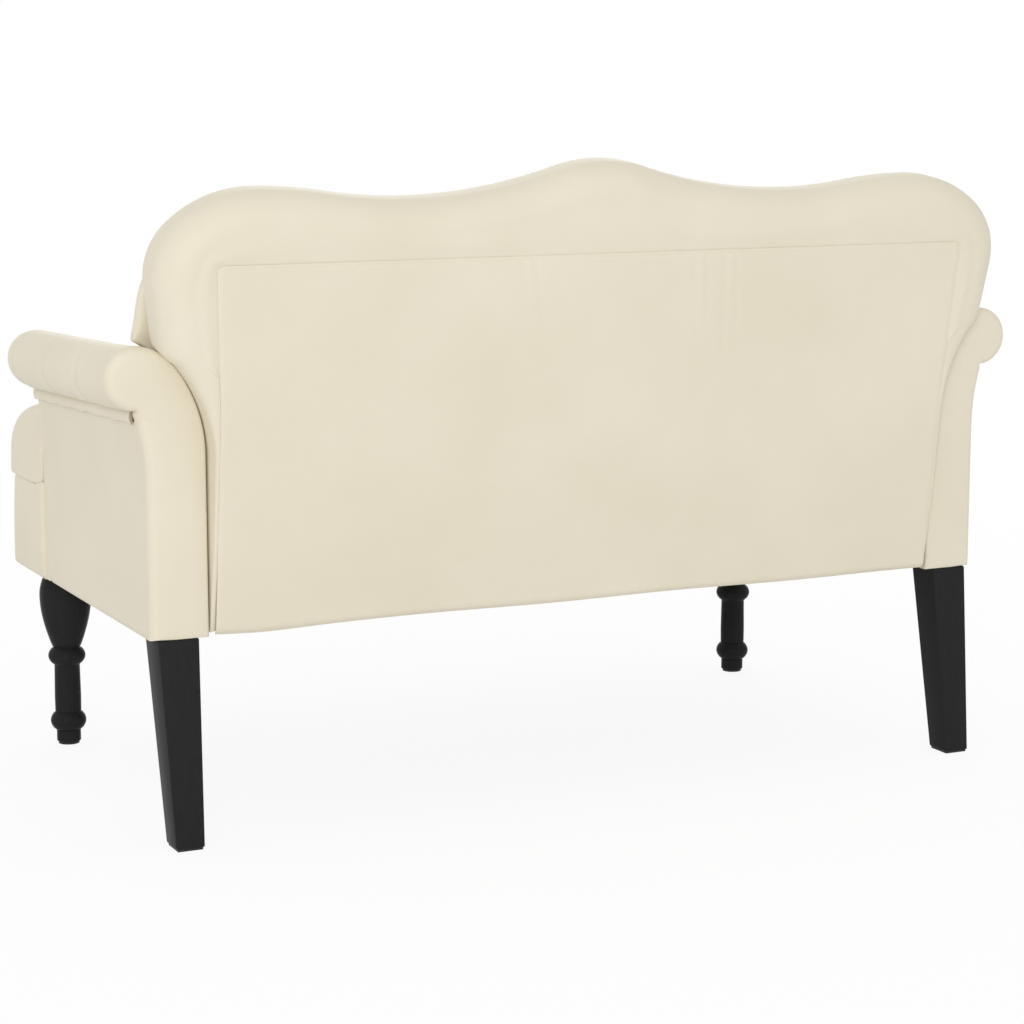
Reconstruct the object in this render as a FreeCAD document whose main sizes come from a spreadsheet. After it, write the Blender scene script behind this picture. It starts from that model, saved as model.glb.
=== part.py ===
import FreeCAD, Part
import Sketcher
import math
import os

# Chesterfield bench: a two-seat upholstered bench with rolled arms, a camelback and four black legs.
# Millimetres. +Z is up, the sitter looks along -Y, the origin is on the floor under the middle.

os.makedirs("parts", exist_ok=True)
doc = FreeCAD.newDocument("ChesterfieldBench")
sheet = doc.addObject("Spreadsheet::Sheet", "Sizes")

DRIVING_SIZES = dict(
    # Seat box and its covers
    seat_underside=236,
    cover_hem=2,
    apron_height=118,
    apron_front=303,
    apron_kick=10,
    apron_pad=6.5,
    apron_corner=14,
    seat_height=447,
    nose_overhang=19,
    cushion_side=5,
    cushion_crown=14,
    cushion_hollow=1.5,
    cushion_shoulder=36,
    cushion_crown_inset=62,
    cushion_round=26,
    cushion_notch=6,
    cushion_wrap=22,
    seat_rear=190,
    rail_thick=22,
    rail_height=110,
    ear_gap=3.5,
    corner_block=60,
    leg_block=28,
    strap_width=60,
    strap_thick=2,
    strap_pitch=130,
    dust_cloth=1.8,
    strap_overlap=18,
    bottom_rail_height=70,
    bottom_rail_depth=32,
    back_bolt_rise=36,
    # Arms
    arm_gap=962,
    arm_thick=68.5,
    arm_front=164,
    arm_rear=259,
    arm_rail_height=45,
    roll_radius=36,
    roll_out=9.5,
    roll_height=569,
    roll_drop=16,
    scroll_spring=96,
    scroll_sweep=172,
    neck_drop=3.5,
    neck_out=5,
    band_back=7,
    inside_padding=21.5,
    roll_rail_height=28,
    roll_rail_inset=4,
    tack_rail_width=20,
    tack_rail_height=25,
    arm_button_down=62,
    outside_cover=6,
    flare_height=76,
    flare_out=11,
    band_height=16,
    band_proud=5,
    facing_thick=17.7,
    facing_round=9,
    board_thick=18,
    pleat_pitch=134,
    pleat_first=126,
    pleat_depth=4.5,
    pleat_gather=9,
    roll_swell=1,
    # Back
    back_foot=261.3,
    back_recline=7,
    back_thick=88,
    back_hem=5,
    back_slit=3.5,
    back_wing=70,
    back_round=36,
    crest_height=528.6,
    crest_radius=180,
    crest_slope=17.75,
    valley_place=250,
    shoulder_slope=9.25,
    shoulder_inset=118,
    shoulder_radius=141,
    corner_slope=39.2,
    corner_radius=85,
    wing_slope=8,
    border_padding=30,
    border_rear=14,
    panel_top=426,
    panel_inset=4,
    panel_flare=14,
    panel_corner=25,
    panel_thick=4,
    post_width=22,
    board_depth=24,
    board_inset=38,
    post_rise=6,
    top_rail_lap=30,
    middle_rail_rise=48,
    middle_rail_height=60,
    webbing_lap=40,
    # Tufting of the inside back
    pad_swell=74,
    pad_bottom=122,
    tuft_pitch=134,
    tuft_top_row=410,
    tuft_row_pitch=80,
    tuft_depth=24,
    pillow_rise=5,
    pad_edge=9,
    button_width=24,
    button_rise=6,
    button_margin=1,
    # Legs and fasteners
    front_leg_inset=51.1,
    front_leg_setback=44,
    foot_diameter=31,
    ring_diameter=46,
    stem_diameter=34,
    collar_diameter=48,
    vase_diameter=66.3,
    leg_top_diameter=50,
    foot_height=15.5,
    ring_height=25,
    stem_height=62,
    collar_height=23.5,
    vase_height=68.5,
    shoulder_height=26.5,
    bead=1,
    rear_leg_top_width=48,
    rear_leg_top_depth=50,
    rear_leg_foot_width=33.5,
    rear_leg_foot_depth=38,
    rear_leg_splay=28,
    rear_leg_shift=1.75,
    rear_leg_bolt_shift=4,
    glide_thick=2.5,
    glide_inset=2,
    bolt_diameter=8,
    bolt_reach=40,
    bolt_clearance=0.3,
    nut_height=6.5,
    nut_width=13,
    washer_width=16,
    washer_thick=1.6,
    # Room left between a soft cover and what it lies against
    clearance=0.3,
)

for row, (alias, number) in enumerate(DRIVING_SIZES.items(), start=1):
    sheet.set(f"A{row}", str(number))
    sheet.setAlias(f"A{row}", alias)
doc.recompute()


def text_of(size):
    """Give the sheet expression of a size, or the digits of a plain number."""
    return size.text if isinstance(size, Size) else f"({float(size)!r})"


class Size(float):
    """A number that carries the sheet expression it is worked out from."""

    def __new__(cls, number, text):
        size = super().__new__(cls, number)
        size.text = text
        return size

    def __add__(self, other):
        return Size(float(self) + float(other), f"({self.text} + {text_of(other)})")

    def __radd__(self, other):
        return self + other

    def __sub__(self, other):
        return Size(float(self) - float(other), f"({self.text} - {text_of(other)})")

    def __rsub__(self, other):
        return Size(float(other) - float(self), f"({text_of(other)} - {self.text})")

    def __mul__(self, other):
        return Size(float(self) * float(other), f"({self.text} * {text_of(other)})")

    def __rmul__(self, other):
        return self * other

    def __truediv__(self, other):
        return Size(float(self) / float(other), f"({self.text} / {text_of(other)})")

    def __neg__(self):
        return Size(-float(self), f"(0 - {self.text})")


def sine(angle):
    return Size(math.sin(math.radians(angle)), f"sin({angle.text} * 1deg)")


def cosine(angle):
    return Size(math.cos(math.radians(angle)), f"cos({angle.text} * 1deg)")


def square_root(size):
    return Size(math.sqrt(size), f"sqrt({size.text})")


def unit(across, up):
    """Give a direction as its two shares of a length of one."""
    length = square_root(across * across + up * up)
    return across / length, up / length


def derived(alias, size):
    """Write a worked-out size into the sheet under its own name."""
    row = len(DRIVING_SIZES) + len(derived_sizes) + 1
    derived_sizes.append(alias)
    sheet.set(f"A{row}", "=" + size.text.replace("Sizes.", ""))
    sheet.setAlias(f"A{row}", alias)
    doc.recompute()
    return Size(sheet.get(alias), f"Sizes.{alias}")


class Sizes:
    """The sheet's cells as sizes, one attribute for each alias."""


s = Sizes()
for alias in DRIVING_SIZES:
    setattr(s, alias, Size(sheet.get(alias), f"Sizes.{alias}"))

derived_sizes = []
SIDES = (("left", 1), ("right", -1))
X_AXIS = FreeCAD.Vector(1, 0, 0)
Y_AXIS = FreeCAD.Vector(0, 1, 0)
HALF_ROOT = math.sqrt(0.5)

nodes = []


def keep(piece):
    """Note a finished sub-part, which is written to a file of its own."""
    nodes.append(piece)
    return piece


def bind(piece, prop, size):
    piece.setExpression(prop, text_of(size))


def leaning(y, z):
    """Turn a place on the reclined back into a place on the bench."""
    lean_y = s.back_foot + y * cosine(s.back_recline) + z * sine(s.back_recline)
    lean_z = s.seat_underside - y * sine(s.back_recline) + z * cosine(s.back_recline)
    return lean_y, lean_z


def place(piece, x, y, z, leans=False):
    if leans:
        piece.Placement = FreeCAD.Placement(FreeCAD.Vector(), FreeCAD.Rotation(X_AXIS, -1))
        bind(piece, "Placement.Rotation.Angle", -s.back_recline)
        y, z = leaning(y, z)
    for letter, size in zip("xyz", (x, y, z)):
        bind(piece, f"Placement.Base.{letter}", size)
    return piece


def span(side, inner, outer):
    """Give the low and high X of a piece of the left (1) or right (-1) side."""
    return sorted((side * inner, side * outer))


def box(label, x, y, z, leans=False):
    piece = doc.addObject("Part::Box", label)
    for prop, (low, high) in zip(("Length", "Width", "Height"), (x, y, z)):
        bind(piece, prop, high - low)
    return place(piece, x[0], y[0], z[0], leans)


def cylinder(label, diameter, length, x, y, z, along="z"):
    piece = doc.addObject("Part::Cylinder", label)
    turns = dict(z=(X_AXIS, 0), x=(Y_AXIS, 90), y=(X_AXIS, -90))
    piece.Placement = FreeCAD.Placement(FreeCAD.Vector(), FreeCAD.Rotation(*turns[along]))
    bind(piece, "Radius", diameter / 2)
    bind(piece, "Height", length)
    return place(piece, x, y, z)


def group(label, members):
    piece = doc.addObject("Part::Compound", label)
    piece.Links = members
    return piece


def cut(label, base, *tools):
    """Cut the tools out of a base, one after another."""
    for number, tool in enumerate(tools, start=1):
        name = label if number == len(tools) else f"{label}_cut_{number}"
        piece = doc.addObject("Part::Cut", name)
        piece.Base = base
        piece.Tool = tool
        base = piece
    return base


def draw(sketch, start, steps):
    """Draw a closed outline of lines (end,) and arcs (via, end), with every point tied to the sheet."""
    rules = []

    def tie(geometry, position, point):
        for kind, axis, size in (("DistanceX", -2, point[0]), ("DistanceY", -1, point[1])):
            if float(size) == 0:
                rules.append((Sketcher.Constraint("PointOnObject", geometry, position, axis), None))
            else:
                rule = Sketcher.Constraint(kind, -1, 1, geometry, position, float(size))
                rules.append((rule, text_of(size)))

    def vector(point):
        return FreeCAD.Vector(point[0], point[1], 0)

    here = start
    last_end = None
    first_start = None
    for step in steps:
        if len(step) == 1:
            number = sketch.addGeometry(Part.LineSegment(vector(here), vector(step[0])))
            begin, end = 1, 2
        else:
            number = sketch.addGeometry(Part.Arc(vector(here), vector(step[0]), vector(step[1])))
            begins = sketch.getPoint(number, 1).distanceToPoint(vector(here)) < 0.001
            begin, end = (1, 2) if begins else (2, 1)
            via = sketch.addGeometry(Part.Point(vector(step[0])), True)
            tie(via, 1, step[0])
            rules.append((Sketcher.Constraint("PointOnObject", via, 1, number), None))
        if last_end:
            rules.append((Sketcher.Constraint("Coincident", *last_end, number, begin), None))
        else:
            first_start = (number, begin)
            tie(number, begin, here)
        if step is not steps[-1]:
            tie(number, end, step[-1])
        here = step[-1]
        last_end = (number, end)
    rules.append((Sketcher.Constraint("Coincident", *last_end, *first_start), None))
    places = sketch.addConstraint([rule for rule, text in rules])
    for number, (rule, text) in zip(places, rules):
        if text:
            sketch.setExpression(f"Constraints[{number}]", text)


def profile_body(label, start, steps):
    """Start a body with an outline in its XZ plane."""
    body = doc.addObject("PartDesign::Body", label)
    sketch = body.newObject("Sketcher::SketchObject", f"{label}_outline")
    plane = next(feature for feature in body.Origin.OriginFeatures if feature.Role == "XZ_Plane")
    sketch.AttachmentSupport = (plane, [""])
    sketch.MapMode = "FlatFace"
    draw(sketch, start, steps)
    return body, sketch


def board(label, start, steps, thick):
    """Make a flat piece of an outline: its rear face is the outline's plane, its front is towards -Y."""
    body, sketch = profile_body(label, start, steps)
    pad = body.newObject("PartDesign::Pad", f"{label}_pad")
    pad.Profile = sketch
    bind(pad, "Length", thick)
    return body, pad


def round_edges(body, pad, radius, chosen):
    """Round the edges of a pad for which chosen(edge) is true."""
    doc.recompute()
    names = [f"Edge{number}" for number, edge in enumerate(pad.Shape.Edges, start=1) if chosen(edge)]
    fillet = body.newObject("PartDesign::Fillet", f"{body.Name}_round_{len(body.Group)}")
    fillet.Base = (pad, names)
    bind(fillet, "Radius", radius)
    return fillet


def form(label, shape, leans=False):
    """Hold a soft form, worked out from the sheet's sizes, as a sub-part."""
    piece = doc.addObject("Part::Feature", label)
    piece.Shape = shape
    if leans:
        foot_y, foot_z = leaning(0, 0)
        turn = FreeCAD.Rotation(X_AXIS, -float(s.back_recline))
        piece.Placement = FreeCAD.Placement(FreeCAD.Vector(0, foot_y, foot_z), turn)
    return piece


def wire(points, arcs):
    """Close a wire through points. arcs maps the number of an edge's first point to its middle point."""
    edges = []
    for number, point in enumerate(points):
        following = points[(number + 1) % len(points)]
        if number in arcs:
            edges.append(Part.Arc(point, arcs[number], following).toShape())
        else:
            edges.append(Part.LineSegment(point, following).toShape())
    return Part.Wire(edges)


def loft(wires):
    return Part.makeLoft(wires, True, True)


# Levels and faces that several pieces share
frame_bottom = s.seat_underside + s.cover_hem
rail_top = frame_bottom + s.rail_height
crease = s.seat_underside + s.apron_height
rail_front = -s.apron_front + s.apron_pad
rail_back_of_front = rail_front + s.rail_thick
arm_inner = s.arm_gap / 2
arm_outer = arm_inner + s.arm_thick
ear_rear = -s.arm_front - s.ear_gap
seat_half = arm_outer - s.apron_pad
side_rail_inner = arm_inner - s.rail_thick
rail_levels = (frame_bottom, rail_top)

# The inside back swells between its buttons, fullest at the small of the sitter's back.
FULLEST_BELOW_TOP_ROW = 0.9
SWELL_LOST_AT_ENDS = 0.62
BULGE_OF_A_SPAN = 0.12
pad_back = -float(s.back_thick + s.clearance)
pad_bottom = float(s.pad_bottom)
rows = [float(s.tuft_top_row) - number * float(s.tuft_row_pitch) for number in range(3)]
half_flat = float(s.button_width) / 2 + float(s.button_margin)


def swell(z):
    """Give the inside back's thickness at a height along it."""
    fullest = rows[0] - float(s.tuft_row_pitch) * FULLEST_BELOW_TOP_ROW
    reach = float(s.crest_height) - fullest if z > fullest else fullest - pad_bottom
    away = (z - fullest) / reach
    return float(s.pad_swell) * (1 - SWELL_LOST_AT_ENDS * away * away)


def bulged(first, last, share):
    """Give the point of a bulged span at a share of its length, as a place behind and along the back."""
    reach = math.hypot(last[0] - first[0], last[1] - first[1])
    sag = reach * BULGE_OF_A_SPAN
    radius = (reach * reach / 4 + sag * sag) / (2 * sag)
    bulge = math.sqrt(radius * radius - (reach * (share - 0.5)) ** 2) - radius + sag
    across = ((last[1] - first[1]) / reach, (first[0] - last[0]) / reach)
    return tuple(first[axis] + (last[axis] - first[axis]) * share + across[axis] * bulge for axis in (0, 1))


pillow_foot = (pad_back - swell(rows[2]) - float(s.pillow_rise), rows[2] - half_flat)
pad_foot_edge = (pad_back - swell(pad_bottom), pad_bottom)
pad_foot_line = [leaning(*bulged(pillow_foot, pad_foot_edge, step / 40)) for step in range(40, -1, -1)]


def pad_front(level):
    """Give how far forward the inside back comes at a height on the bench, or nothing below it."""
    for (low_y, low_z), (high_y, high_z) in zip(pad_foot_line, pad_foot_line[1:]):
        if float(low_z) <= level <= float(high_z):
            share = (level - float(low_z)) / float(high_z - low_z)
            return float(low_y) + share * float(high_y - low_y)
    return None


# Holes for the bolts, which the rails and the bolts share
hole_diameter = s.bolt_diameter + 2 * s.bolt_clearance
arm_bolt_front = -s.arm_front + s.corner_block
arm_bolt_rear = s.seat_rear - s.rail_thick - s.corner_block - 2 * s.washer_width
arm_bolt_places = [arm_bolt_front, (arm_bolt_front + arm_bolt_rear) / 2, arm_bolt_rear]
arm_bolt_height = frame_bottom + s.arm_rail_height / 2
back_bolt_places = [side * share * side_rail_inner for side in (1, -1) for share in (0.3, 0.8)]
back_bolt_height = frame_bottom + s.back_bolt_rise


# Seat box: front, back, side and centre rails, and the ears in front of the arms.
keep(box("seat_front_rail", (-seat_half, seat_half), (rail_front, rail_back_of_front), rail_levels))
back_rail_blank = box(
    "seat_back_rail_blank",
    (-side_rail_inner, side_rail_inner),
    (s.seat_rear - s.rail_thick, s.seat_rear),
    rail_levels,
)
back_rail_holes = [
    cylinder(
        f"seat_back_rail_hole_{number}",
        hole_diameter,
        s.rail_thick,
        place_x,
        s.seat_rear - s.rail_thick,
        back_bolt_height,
        "y",
    )
    for number, place_x in enumerate(back_bolt_places, start=1)
]
keep(cut("seat_back_rail", back_rail_blank, group("seat_back_rail_holes", back_rail_holes)))
for name, side in SIDES:
    blank = box(
        f"seat_side_rail_{name}_blank",
        span(side, side_rail_inner, arm_inner),
        (rail_back_of_front, s.seat_rear),
        rail_levels,
    )
    holes = [
        cylinder(
            f"seat_side_rail_{name}_hole_{number}",
            hole_diameter,
            s.rail_thick,
            span(side, side_rail_inner, arm_inner)[0],
            place_y,
            arm_bolt_height,
            "x",
        )
        for number, place_y in enumerate(arm_bolt_places, start=1)
    ]
    keep(cut(f"seat_side_rail_{name}", blank, group(f"seat_side_rail_{name}_holes", holes)))
    keep(box(
        f"seat_ear_side_{name}",
        span(side, seat_half - s.rail_thick, seat_half),
        (rail_back_of_front, ear_rear - s.rail_thick),
        rail_levels,
    ))
    keep(box(
        f"seat_ear_back_{name}",
        span(side, arm_inner, seat_half),
        (ear_rear - s.rail_thick, ear_rear),
        rail_levels,
    ))
keep(box(
    "seat_centre_rail",
    (-s.rail_thick / 2, s.rail_thick / 2),
    (rail_back_of_front, s.seat_rear - s.rail_thick),
    rail_levels,
))

# Glued three-cornered blocks brace the four inner corners of the seat box.
blocks = []
for name, side in SIDES:
    for end, corner_y, turn in (("front", rail_back_of_front, 1), ("back", s.seat_rear - s.rail_thick, -1)):
        block = doc.addObject("Part::Wedge", f"corner_block_{end}_{name}")
        for prop in ("Xmin", "Ymin", "Zmin", "X2min", "Z2min", "X2max"):
            setattr(block, prop, 0)
        bind(block, "Xmax", s.corner_block)
        bind(block, "Ymax", s.corner_block)
        bind(block, "Zmax", s.corner_block)
        bind(block, "Z2max", s.corner_block)
        quarter_turns = {(1, 1): 90, (1, -1): 180, (-1, 1): 0, (-1, -1): 270}[side, turn]
        block.Placement = FreeCAD.Placement(
            FreeCAD.Vector(), FreeCAD.Rotation(FreeCAD.Vector(0, 0, 1), quarter_turns)
        )
        blocks.append(place(block, side * side_rail_inner, corner_y, frame_bottom))
keep(group("seat_corner_blocks", blocks))

# Elastic webbing: long straps on the side rails, short straps over them on the front and back rails.
long_reach = side_rail_inner + s.strap_overlap
short_ends = (rail_back_of_front - s.strap_overlap, s.seat_rear - s.rail_thick + s.strap_overlap)
long_count = int((short_ends[1] - short_ends[0] - s.strap_width) // s.strap_pitch)
short_count = int((side_rail_inner - s.strap_width) // s.strap_pitch)
straps = []
for number in range(long_count):
    low_y = rail_back_of_front + s.strap_width / 2 + number * s.strap_pitch
    straps.append(box(
        f"long_strap_{number + 1}",
        (-long_reach, long_reach),
        (low_y, low_y + s.strap_width),
        (rail_top, rail_top + s.strap_thick),
    ))
for number in range(-short_count, short_count + 1):
    low_x = number * s.strap_pitch - s.strap_width / 2
    straps.append(box(
        f"short_strap_{number + short_count + 1}",
        (low_x, low_x + s.strap_width),
        short_ends,
        (rail_top + s.strap_thick, rail_top + 2 * s.strap_thick),
    ))
keep(group("seat_webbing", straps))

deck_bottom = rail_top + 2 * s.strap_thick
keep(box("seat_deck_cloth", (-long_reach, long_reach), short_ends, (deck_bottom, crease)))

# Black dust cloth, stapled under the seat rails and carried on under the back
dust_levels = (frame_bottom - s.dust_cloth, frame_bottom)
dust_half = side_rail_inner + s.rail_thick / 2
dust_back_half = arm_inner - s.back_slit - s.border_padding - s.clearance
seat_part = box(
    "dust_cover_seat_part",
    (-dust_half, dust_half),
    (rail_front + s.rail_thick / 2, s.seat_rear),
    dust_levels,
)
back_part = box(
    "dust_cover_back_part",
    (-dust_back_half, dust_back_half),
    (s.seat_rear, s.back_foot - s.board_inset),
    dust_levels,
)
dust_cover = doc.addObject("Part::Fuse", "seat_dust_cover")
dust_cover.Base = seat_part
dust_cover.Tool = back_part
keep(dust_cover)


# The seat cushion's levels, each with how far its sides are drawn in there
foam_top = float(s.seat_height) - float(s.cushion_wrap)
foam_bottom = float(crease + s.clearance)
rise = float(s.seat_height) - foam_bottom
shoulder = float(s.cushion_shoulder)
cushion_levels = [
    (foam_bottom, float(s.nose_overhang) * 0.75),
    (foam_bottom + rise * 0.10, float(s.nose_overhang) * 0.30),
    (foam_bottom + rise * 0.30, float(s.cushion_hollow)),
    (foam_bottom + rise * 0.50, 0.0),
    (foam_bottom + rise * 0.68, shoulder * 0.07),
    (foam_bottom + rise * 0.83, shoulder * 0.25),
    (foam_bottom + rise * 0.94, shoulder * 0.56),
    (foam_bottom + rise, shoulder),
    (foam_bottom + rise + float(s.cushion_crown), float(s.cushion_crown_inset)),
]

# Its rear edge lies against the swell of the inside back.
REAR_STEPS = 24
rear_limits = []
for (low, low_inset), (high, high_inset) in zip(cushion_levels, cushion_levels[1:]):
    for step in range(REAR_STEPS):
        share = step / REAR_STEPS
        front = pad_front(low + (high - low) * share)
        if front is not None:
            rear_limits.append(front + low_inset + (high_inset - low_inset) * share)
cushion_rear = min(rear_limits) - float(s.clearance)


def t_outline(height, inset):
    """Give the seat's T-shaped outline at a height, moved inwards by inset, as a wire with round corners."""
    wide = float(arm_outer + s.cushion_side) - inset
    narrow = float(arm_inner - s.back_slit) - inset
    front = float(-s.apron_front - s.nose_overhang) + inset
    ears = float(ear_rear) - inset
    rear = cushion_rear - inset
    corners = [
        (-wide, front), (wide, front), (wide, ears), (narrow, ears),
        (narrow, rear), (-narrow, rear), (-narrow, ears), (-wide, ears),
    ]
    points = []
    arcs = {}
    for number, (x, y) in enumerate(corners):
        notch = number in (3, 6)
        round_radius = float(s.cushion_notch if notch else s.cushion_round)
        before = corners[number - 1]
        after = corners[(number + 1) % len(corners)]
        inward = []
        for other_x, other_y in (before, after):
            reach = math.hypot(other_x - x, other_y - y)
            radius = min(round_radius, reach * 0.3)
            inward.append((x + (other_x - x) / reach * radius, y + (other_y - y) / reach * radius))
        (first_x, first_y), (last_x, last_y) = inward
        arcs[len(points)] = FreeCAD.Vector(
            x + (first_x + last_x - 2 * x) * (1 - HALF_ROOT),
            y + (first_y + last_y - 2 * y) * (1 - HALF_ROOT),
            height,
        )
        points.append(FreeCAD.Vector(first_x, first_y, height))
        points.append(FreeCAD.Vector(last_x, last_y, height))
    return wire(points, arcs)


# Seat foam and its leather cushion: a crowned T with drawn-in sides and an overhanging round nose.
wrap = float(s.cushion_wrap)
foam_face = Part.Face(t_outline(foam_bottom, wrap + float(s.clearance)))
keep(form("seat_foam", foam_face.extrude(FreeCAD.Vector(0, 0, foam_top - foam_bottom))))
cushion_form = loft([t_outline(level, inset) for level, inset in cushion_levels])
cushion_room = Part.Face(t_outline(foam_bottom, wrap)).extrude(
    FreeCAD.Vector(0, 0, foam_top - foam_bottom + float(s.clearance))
)
keep(form("seat_cushion", cushion_form.cut(cushion_room)))


def apron_outline(height, front):
    """Give the apron's U at a height: round the front and back along both ears to the arms."""
    outer = float(arm_outer)
    inner = float(seat_half + s.clearance)
    rear = float(ear_rear)
    radius = float(s.apron_corner)
    inner_front = float(rail_front - s.clearance)
    hidden = radius * (1 - HALF_ROOT)
    points = [
        FreeCAD.Vector(-outer, rear, height),
        FreeCAD.Vector(-outer, front + radius, height),
        FreeCAD.Vector(-outer + radius, front, height),
        FreeCAD.Vector(outer - radius, front, height),
        FreeCAD.Vector(outer, front + radius, height),
        FreeCAD.Vector(outer, rear, height),
        FreeCAD.Vector(inner, rear, height),
        FreeCAD.Vector(inner, inner_front, height),
        FreeCAD.Vector(-inner, inner_front, height),
        FreeCAD.Vector(-inner, rear, height),
    ]
    arcs = {
        1: FreeCAD.Vector(-outer + hidden, front + hidden, height),
        3: FreeCAD.Vector(outer - hidden, front + hidden, height),
    }
    return wire(points, arcs)


keep(form("seat_apron", loft([
    apron_outline(float(s.seat_underside), -float(s.apron_front + s.apron_kick)),
    apron_outline(float(crease), -float(s.apron_front)),
])))


# Arms. The scroll is the outline of an arm seen from behind: up the inside, over the roll and down outside.
roll_x = arm_outer + s.roll_out
roll_z = s.roll_height - s.roll_radius
facing_front = -s.arm_front
facing_rear = s.arm_rear
board_front = facing_front + s.facing_thick + s.clearance
board_rear = facing_rear - s.facing_thick - s.clearance
arm_length = s.arm_rear + s.arm_front

# The scroll's inner curve is two arcs: one starts upright on the arm's inside, and the other
# takes it over where they run the same way and lies level on top of the roll.
BROW_SHARE = 0.61
curve_out = roll_x - arm_inner
curve_up = s.roll_radius + s.scroll_spring
brow_radius = derived("brow_radius", (
    (curve_out * curve_out + curve_up * curve_up - 2 * s.scroll_sweep * curve_out)
    / (2 * (curve_up - s.scroll_sweep))
))
hip_lean = derived("hip_lean", (s.scroll_sweep - curve_out) / (s.scroll_sweep - brow_radius))
hip_rise = derived("hip_rise", (curve_up - brow_radius) / (s.scroll_sweep - brow_radius))
waist_direction = unit(1 + hip_lean, hip_rise)
waist_lean = derived("waist_lean", waist_direction[0])
waist_rise = derived("waist_rise", waist_direction[1])
brow_direction = unit(BROW_SHARE * hip_lean, BROW_SHARE * hip_rise + (1 - BROW_SHARE))
brow_lean = derived("brow_lean", brow_direction[0])
brow_rise = derived("brow_rise", brow_direction[1])


def scroll_points(inset, drop):
    """Give the points of the scroll's inner curve, moved inwards by inset and down by drop."""
    base_z = roll_z - drop
    spring = (arm_inner + inset, base_z - s.scroll_spring)
    sweep_x = arm_inner + s.scroll_sweep
    sweep = s.scroll_sweep - inset
    waist = (sweep_x - sweep * waist_lean, spring[1] + sweep * waist_rise)
    hip = (sweep_x - sweep * hip_lean, spring[1] + sweep * hip_rise)
    top = (roll_x, base_z + s.roll_radius - inset)
    over = brow_radius - inset
    brow = (roll_x - over * brow_lean, top[1] - over * (1 - brow_rise))
    return spring, waist, hip, brow, top


def scroll_path(inset, outer_inset, drop, foot):
    """Give the whole scroll as an outline, from its foot up the inside and down the outside."""
    spring, waist, hip, brow, top = scroll_points(inset, drop)
    base_z = roll_z - drop
    radius = s.roll_radius - inset
    outside = arm_outer - outer_inset
    neck_z = base_z - s.roll_radius - s.neck_drop
    neck = (outside + s.flare_out, neck_z)
    flare_foot = neck_z - s.flare_height
    start = (arm_inner + inset, foot)
    steps = [
        (spring,),
        (waist, hip),
        (brow, top),
        ((roll_x + radius * HALF_ROOT, base_z + radius * HALF_ROOT), (roll_x + radius, base_z)),
        ((roll_x + radius * HALF_ROOT, base_z - radius * HALF_ROOT), (roll_x, base_z - radius)),
        (neck,),
        ((outside + s.flare_out * 0.25, neck_z - s.flare_height * 0.5), (outside, flare_foot)),
        ((outside, foot),),
        (start,),
    ]
    return start, steps


def mirrored(side, start, steps):
    def turn(point):
        return (side * point[0], point[1])

    return turn(start), [tuple(turn(point) for point in step) for step in steps]


def drop_at(y):
    """The roll falls evenly from the rear of the arm to its front."""
    return s.roll_drop * (s.arm_rear - y) / arm_length


arm_rail_top = frame_bottom + s.arm_rail_height
pad_foot = rail_top + s.cover_hem
board_inset = s.inside_padding + s.clearance
leg_centre_x = arm_inner + s.arm_thick / 2 + s.rear_leg_shift
leg_rear = s.arm_rear - s.cover_hem / 2
leg_centre_y = leg_rear - s.rear_leg_top_depth / 2
leg_bolt_y = leg_centre_y - s.rear_leg_bolt_shift
recess_bottom = arm_rail_top - s.washer_thick - 2 * s.nut_height


def scroll_board(label, side, rear_y, room):
    """Make a plywood scroll board, or with room the space that it needs in the padding."""
    drop = drop_at(rear_y)
    outline = scroll_path(board_inset - room, s.outside_cover + s.clearance, drop, arm_rail_top)
    body, pad = board(label, *mirrored(side, *outline), s.board_thick + 2 * room)
    return place(body, 0, rear_y + room, 0)


def arm_section(y, draw_in):
    """Give the arm pad's section at y, drawn in at a pleat, as a wire of lines and arcs."""
    drop = float(drop_at(y))
    spring, waist, hip, brow, top = scroll_points(draw_in, drop)
    middle_z = float(roll_z) - drop
    radius = float(s.roll_radius) - draw_in
    middle_x = float(roll_x)
    under = middle_z - float(s.roll_radius + s.neck_drop)
    foot = float(pad_foot)
    back = float(arm_inner + s.inside_padding)
    neck = float(arm_outer + s.neck_out)
    tuck = under + float(s.neck_drop) * 0.9
    flat = [
        (back, foot), (float(arm_inner) + draw_in, foot), spring, hip, top,
        (middle_x + radius, middle_z), (middle_x, middle_z - radius),
        (neck, tuck), (neck, under), (back, under),
    ]
    middles = {
        2: waist,
        3: brow,
        4: (middle_x + radius * HALF_ROOT, middle_z + radius * HALF_ROOT),
        5: (middle_x + radius * HALF_ROOT, middle_z - radius * HALF_ROOT),
    }

    def stand(point):
        return FreeCAD.Vector(float(point[0]), float(y), float(point[1]))

    return wire([stand(point) for point in flat], {number: stand(point) for number, point in middles.items()})


def mirror_form(shape, side):
    """Give a left-hand form as it is, or its mirror image for the right-hand side."""
    return shape if side == 1 else shape.mirror(FreeCAD.Vector(0, 0, 0), X_AXIS)


# The roll is gathered at evenly spaced pleats and swells between them.
pleats = [facing_rear - s.pleat_first - number * s.pleat_pitch for number in range(3)]
pad_rear = float(board_rear)
roll_front = float(board_front)
gather = float(s.pleat_gather)
full = float(s.roll_swell)
stations = [(pad_rear, full), ((pad_rear + float(pleats[0])) / 2, -full)]
for number, pleat in enumerate(pleats):
    middle = float(pleat)
    stations += [(middle + gather, full * 0.6), (middle, float(s.pleat_depth))]
    if number + 1 < len(pleats):
        between = middle - float(s.pleat_pitch) / 2
        stations += [(middle - gather, full * 0.6), (between, -full)]
stations.append((roll_front, full * 1.5))
arm_pad_form = loft([arm_section(y, draw_in) for y, draw_in in stations])

band_gap = float(s.clearance)
button_pocket = s.button_rise
button_height = roll_z - s.arm_button_down
buttons = []


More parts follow.
